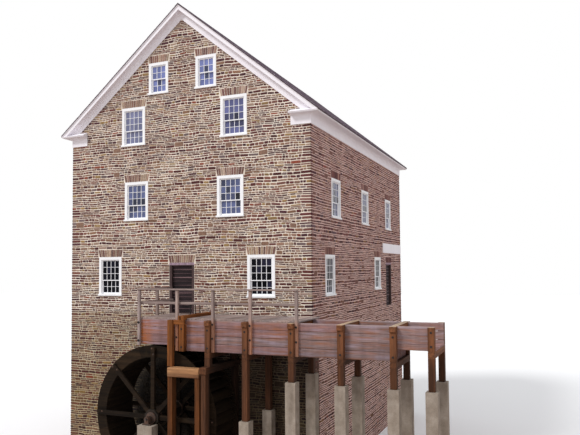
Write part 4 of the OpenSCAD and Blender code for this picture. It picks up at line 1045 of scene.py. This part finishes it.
def rail_shade(p):
    """The railing's posts are browner where they stand against the trough."""
    return (1.35, 0.88, 0.62) if p[2] < TROUGH_TOP and p[0] > 0 else WHITE


def boxes_as_timber(node, name, seed, materials, slot, shade):
    """Redraws a CAD node made of plain timbers as sawn timbers in the same places."""
    b = Builder(seed)
    for lo, hi in parts_of(node):
        timber(b, lo, hi, int(np.argmax(hi - lo)), edge=0.008, warp=0.002, shade=shade, step=0.3)
    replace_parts(b.piece(name, materials, "mill", slot), node)


lay_trough()
boxes_as_timber("flume_yokes", "yoke_timbers", 711, BROWN_WOODS, "brown_wood", painted_shade_and_top_light)
boxes_as_timber("flume_trestle", "trestle_timbers", 712, BROWN_WOODS, "brown_wood", painted_shade_and_top_light)
boxes_as_timber("flume_railing", "railing_timbers", 713, GREY_WOODS, "grey_wood", rail_shade)


def lay_deck():
    """Boards across the deck, with one cut short behind the head beam."""
    b = Builder(721)
    (x_lo, y_lo, z_lo), (x_hi, y_hi, z_hi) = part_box("flume_deck")
    s0, s1 = GATE_POST_RIGHT - HEAD_BEAM_W - SEAT, GATE_POST_RIGHT + SEAT
    edges = [x_lo]
    while edges[-1] < x_hi - 0.3:
        edges.append(edges[-1] + b.rng.choice((0.17, 0.19, 0.21)))
        if edges[-2] < s0 < edges[-1]:
            edges[-1:] = [s0, s1]
    edges += [(edges[-1] + x_hi) / 2, x_hi]
    for a, c in zip(edges, edges[1:]):
        if abs(a - s0) < 1e-6:
            timber(b, (a, FAR_Y + 0.2 + SEAT, z_lo), (c, y_hi, z_hi), 1)
        elif c - a > 0.02:
            timber(b, (a, y_lo, z_lo), (c - 0.005, y_hi, z_hi), 1)
    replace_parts(b.piece("deck_boards", GREY_WOODS, "mill", "grey_wood"), "flume_deck")


def lay_front_frame():
    """The post, cap and pale cross beam in front of the wheel."""
    b = Builder(731)
    back = float(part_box("wheel_front_frame")[1][1])
    post_d, beam_d, far_post_w = 0.15, 0.35, 0.18

    # Painted light and shade on the cross beam: its top is painted lighter, its sides darker towards the
    # right end under the launder
    def top_light(p):
        if p[2] > BEAM_Z[1] - 0.02:
            return (1.9, 2.15, 2.5)
        t = max(0.0, (p[0] - BEAM_X[0]) / (BEAM_X[1] - BEAM_X[0]))
        return (1.0 - 0.5 * t, 1.08 - 0.66 * t, 1.3 - 0.85 * t)

    timber(b, (FRONT_POST[0], back - post_d, BEAM_Z[1]), (FRONT_POST[1], back, TROUGH_TOP), 2,
           edge=0.012)
    timber(b, (FRONT_POST[1], NEAR_Y - 0.2, TROUGH_TOP - CAP_BEAM_H),
           (GATE_POST_RIGHT, NEAR_Y - 0.1, TROUGH_TOP))
    timber(b, (BEAM_X[0], back - beam_d, BEAM_Z[0]), (BEAM_X[1], back, BEAM_Z[1]),
           tint=(1.14, 1.62, 3.0), edge=0.018, shade=top_light)
    # The posts under the beam are painted darker as shade
    for x in (BEAM_X[0], BEAM_X[1] - far_post_w):
        timber(b, (x, back - 0.31, 0.0), (x + far_post_w, back - 0.04, BEAM_Z[0]), 2, (0.5, 0.5, 0.5))
    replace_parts(b.piece("front_frame_timbers", BROWN_WOODS, "mill", "brown_wood"), "wheel_front_frame")


lay_deck()
lay_front_frame()
dress("concrete_piers", "concrete", 0.012)


# Wheel
def on_wheel(step, count, swap_axes=False):
    """Places a point given out from the axis, across and along it, at one of count steps round it."""
    angle = 2 * pi * step / count
    ca, sa = cos(angle), sin(angle)

    def place(p):
        out, across = (p[1], p[0]) if swap_axes else (p[0], p[1])
        return (WHEEL_X + out * ca - across * sa, WHEEL_FAR_Y - p[2], WHEEL_Z + out * sa + across * ca)

    return place


def lay_rims():
    """Felloes: curved planks end to end, the joints of the two rims staggered."""
    b = Builder(801)
    count, arc, c = 12, 6, 0.006
    outer, inner = WHEEL_R - 0.001, WHEEL_R - RIM_D
    ring = [(inner, c), (inner + c, 0), (outer - c, 0), (outer, c),
            (outer, RIM_T - c), (outer - c, RIM_T), (inner + c, RIM_T), (inner, RIM_T - c)]
    for side, y0 in enumerate((WHEEL_FAR_Y - RIM_T, WHEEL_FAR_Y - WHEEL_W)):
        for k in range(count):
            a0 = 2 * pi * (k + 0.5 * side) / count + 0.003 / WHEEL_R
            a1 = 2 * pi * (k + 1 + 0.5 * side) / count - 0.003 / WHEEL_R
            angles = [a0 + (a1 - a0) * i / arc for i in range(arc + 1)]
            verts = [(WHEEL_X + r * cos(a), y0 + y, WHEEL_Z + r * sin(a))
                     for a in angles for (r, y) in ring]
            g = b.rng.uniform(0.7, 1.5)
            b.add(verts, loft(arc + 1, 8), (g, g * 0.97, g * 0.9))
    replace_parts(b.piece("felloes", ["rim"], "wheel", "wheel_wood"), "wheel_rims")


def lay_arms():
    b = Builder(802)
    for z in (-ARM_T, WHEEL_W):
        for i in range(ARMS):
            timber(b, (SHAFT_W / 2, -ARM_W / 2, z), (WHEEL_R - ARM_SHORT, ARM_W / 2, z + ARM_T),
                   place=on_wheel(i, ARMS), edge=0.01)
    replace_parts(b.piece("arm_timbers", ["wheel_x"], "wheel", "wheel_wood"), "wheel_arms")


def lay_sole():
    b = Builder(803)
    inner, count = WHEEL_R - RIM_D, 48
    half = inner * tan(pi / count) - 0.0015
    for i in range(count):
        timber(b, (-half, inner, RIM_T), (half, inner + SOLE_T - 0.002, WHEEL_W - RIM_T),
               place=on_wheel(i, count, True), edge=0.003)
    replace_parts(b.piece("sole_boards", ["wheel_y"], "wheel", "wheel_wood"), "wheel_sole")


def lay_buckets():
    """Each bucket is a floor board on the sole and a front board out to the rim."""
    b = Builder(804)
    sole = WHEEL_R - RIM_D + SOLE_T
    knee, lip, half = sole + RISER_D, WHEEL_R - LIP_SHORT, BUCKET_T / 2
    lip_u, lip_v = lip * cos(LIP_ANGLE), -lip * sin(LIP_ANGLE)
    front_l, lean = hypot(lip_u - knee, lip_v), atan2(lip_v, lip_u - knee)
    cl, sl = cos(lean), sin(lean)
    for i in range(BUCKETS):
        place = on_wheel(i + 0.5, BUCKETS)

        def front_place(p, place=place):
            return place((knee + p[0] * cl - p[1] * sl, p[0] * sl + p[1] * cl, p[2]))

        timber(b, (sole, -half, RIM_T), (knee, half, WHEEL_W - RIM_T), place=place, edge=0.003)
        timber(b, (-half, -half, RIM_T), (front_l - half, half, WHEEL_W - RIM_T), place=front_place,
               edge=0.003)
    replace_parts(b.piece("bucket_boards", ["wheel_y"], "wheel", "wheel_wood"), "wheel_buckets")


def lay_wheel_iron():
    """Bolts where the arms cross the rims, and bands round the shaft."""
    b = Builder()
    for i in range(ARMS):
        for (out, across) in ((-0.1, 0.035), (-0.3, -0.035)):
            x, _, z = on_wheel(i, ARMS)((WHEEL_R + out, across, 0))
            bolt(b, (x, WHEEL_FAR_Y - WHEEL_W - ARM_T, z), (0, -1, 0), 0.02, 0.02)
            bolt(b, (x, WHEEL_FAR_Y + ARM_T, z), (0, 1, 0), 0.02, 0.02)
    flat = SHAFT_W / 2 / cos(pi / 8)
    for y0 in (WHEEL_FAR_Y - 0.15, WHEEL_FAR_Y - WHEEL_W + 0.09):
        rings = ((flat, y0), (flat + 0.009, y0 + 0.002), (flat + 0.009, y0 - 0.062), (flat, y0 - 0.064))
        b.add([(WHEEL_X + x, y, WHEEL_Z + z) for (r, y) in rings for (x, z) in circle(r, 8, pi / 8)],
              loft(4, 8, closed=True))
    b.piece("wheel_iron", ["iron"], "wheel", "iron")


lay_rims()
lay_arms()
lay_sole()
lay_buckets()
lay_wheel_iron()
dress("wheel_shaft", "shaft", 0.006)
dress("shaft_gudgeons shaft_bearings", "iron", 0.004)


# Doors
def lay_door(node, place, out, height, sill, material, seed):
    """A ledged leaf of level boards outside, with two uprights and strap hinges inside."""
    boards = Builder(seed)
    rng = boards.rng
    straps = Builder(rng)
    half_w = (DOOR_W - 2 * DOOR_FRAME_W - 2 * LEAF_GAP) / 2
    z0 = sill + THRESHOLD_T + LEAF_GAP
    leaf_h = height - DOOR_FRAME_W - THRESHOLD_T - 2 * LEAF_GAP
    y0, y1 = FRAME_D - LEAF_T, FRAME_D
    rows, board_t, upright_w, recess = 12, 0.026, 0.13, 0.012
    for i in range(rows):
        q0 = z0 + leaf_h * i / rows
        q1 = z0 + leaf_h * (i + 1) / rows - 0.004
        lip = q1 - rng.uniform(0.028, 0.045)
        # The lip of each board carries a painted highlight and the face below it a painted shade
        g, pale = rng.uniform(0.25, 0.95), rng.uniform(1.4, 4.2)
        timber(boards, (-half_w, y0 + recess, q0), (half_w, y0 + board_t, lip), edge=0.004,
               place=place, tint=(g, g * 0.97, g))
        timber(boards, (-half_w, y0, lip), (half_w, y0 + board_t, q1), edge=0.008,
               place=place, tint=(pale, pale, pale * 0.95))
    for x in (-half_w, half_w - upright_w):
        timber(boards, (x, y0 + board_t, z0), (x + upright_w, y1, z0 + leaf_h), 1, edge=0.004, place=place)
    hinge_x, hinge_y = -half_w - LEAF_GAP / 2, FRAME_D + HINGE_EYE_R
    for share in (HINGE_SHARE, 1 - HINGE_SHARE):
        z = z0 + leaf_h * share
        eye, hole = HINGE_EYE_R, HINGE_PIN_R + SEAT
        rings = ((eye, z), (eye, z + STRAP_H), (hole, z + STRAP_H), (hole, z))
        straps.add([place((hinge_x + x, hinge_y + y, h)) for (r, h) in rings for (x, y) in circle(r, 20)],
                   loft(4, 20, closed=True))
        timber(straps, (hinge_x, FRAME_D, z), (hinge_x + STRAP_L, FRAME_D + STRAP_T, z + STRAP_H),
               edge=0.0015, warp=0.0, place=place, tint=WHITE)
        for x in (0.1, 0.25, 0.42):
            bolt(straps, place((hinge_x + x, FRAME_D + STRAP_T, z + STRAP_H / 2)), out, 0.008, 0.006, False)
    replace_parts(boards.piece(node + "_boards", [material, "door_z"], node, "door_wood"), node)
    straps.piece(node + "_straps", ["iron"], node, "iron")
    dress(node + "_frame", "door_frame", 0.004)


lay_door("gable_door", lambda p: (p[0], FRONT_Y + p[1], p[2]), (0, 1, 0), GABLE_DOOR_H, DECK_Z,
         "door_x", 901)
lay_door("entrance_door", lambda p: (HALF_W - p[1], ENTRANCE_DOOR_Y + p[0], p[2]), (-1, 0, 0),
         ENTRANCE_DOOR_H, FIRST_FLOOR_Z, "door_y", 902)


def lay_gate():
    """Two planks in the channel, and the iron bars and crossbar that lift them."""
    wood = Builder(911)
    bars = Builder(wood.rng)
    z0 = TROUGH_TOP - LAUNDER_H + PLANK_T + SEAT
    z1 = TROUGH_TOP - GATE_LIFT - GATE_TOP_GAP
    mid = (z0 + z1) / 2
    y0, y1 = INNER_NEAR + GATE_GAP, INNER_FAR - GATE_GAP
    x0, x1 = GATE_X - GATE_T / 2, GATE_X + GATE_T / 2
    timber(wood, (x0, y0, z0), (x1, y1, mid - 0.001), edge=0.004)
    timber(wood, (x0, y0, mid + 0.001), (x1, y1, z1), edge=0.004)
    centre_y, half, top = (NEAR_Y + FAR_Y) / 2, BAR_W / 2, DECK_Z + BAR_Z
    reach = BAR_STEP + half + 0.02
    boxes = [((centre_y + i * BAR_STEP - half, z1 - 0.002), (centre_y + i * BAR_STEP + half, top))
             for i in (-1, 0, 1)]
    boxes += [((centre_y - reach, top), (centre_y + reach, top + BAR_W))]
    for low, high in boxes:
        timber(bars, (GATE_X - half, *low), (GATE_X + half, *high), edge=0.002, warp=0.0005, tint=WHITE)
    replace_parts(wood.piece("gate_planks", ["grey_y"], "sluice_gate", "grey_wood"), "sluice_gate")
    bars.piece("gate_bars", ["black_iron"], "sluice_gate", "iron")


lay_gate()

# Bolts on the railing's posts and on the yokes
bolts = Builder()
for (lo, hi) in parts_of("flume_railing"):
    if hi[1] < NEAR_Y + 0.001 and hi[2] - lo[2] > 1.4:
        x = float(lo[0] + hi[0]) / 2
        low, radius = (0.77, 0.03) if x < 0 else (0.6, 0.024)
        for z in (TROUGH_TOP - 0.13, TROUGH_TOP - low):
            bolt(bolts, (x, float(lo[1]), z), (0, -1, 0), radius, 0.022)
for (lo, hi) in parts_of("flume_yokes"):
    if hi[2] - lo[2] > 0.5 and hi[1] < NEAR_Y + 0.01:
        for z in (hi[2] - 0.15, lo[2] + 0.15):
            bolt(bolts, (float(lo[0] + hi[0]) / 2, float(lo[1]), float(z)), (0, -1, 0), 0.022, 0.02)
bolts.piece("flume_bolts", ["black_iron"], "mill", "iron")

# Light: an even pale world that shows as white, and a soft lamp
WORLD_LIGHT, FLOOR_LIGHT, FLOOR_SEEN = (0.826, 0.834, 0.86), (0.4, 0.325, 0.29), (0.88, 0.88, 0.88)
scene.world = bpy.data.worlds.new("world")
scene.world.use_nodes = True
w = Nodes(scene.world.node_tree)
w.set(w.tree.nodes["Background"].inputs["Color"], w.cover(WORLD_LIGHT, WHITE, w.seen()))
sun_data = bpy.data.lights.new("sun", "SUN")
sun_data.energy = 1.85
sun_data.angle = radians(14)
add_object("sun", sun_data).rotation_euler = (radians(48), 0, radians(-38))

# Floor: pale where it is seen, browner in the light that it throws back
FLOOR_HALF = 160
floor_mesh = bpy.data.meshes.new("floor")
corners = [(x * FLOOR_HALF, y * FLOOR_HALF, 0) for x, y in ((-1, -1), (1, -1), (1, 1), (-1, 1))]
floor_mesh.from_pydata(corners, [], [(0, 1, 2, 3)])
s = Shader("floor", 0.9, 0.2)
s.finish(s.cover(FLOOR_LIGHT, FLOOR_SEEN, s.seen()))
floor_mesh.materials.append(s.mat)
floor = add_object("floor", floor_mesh)
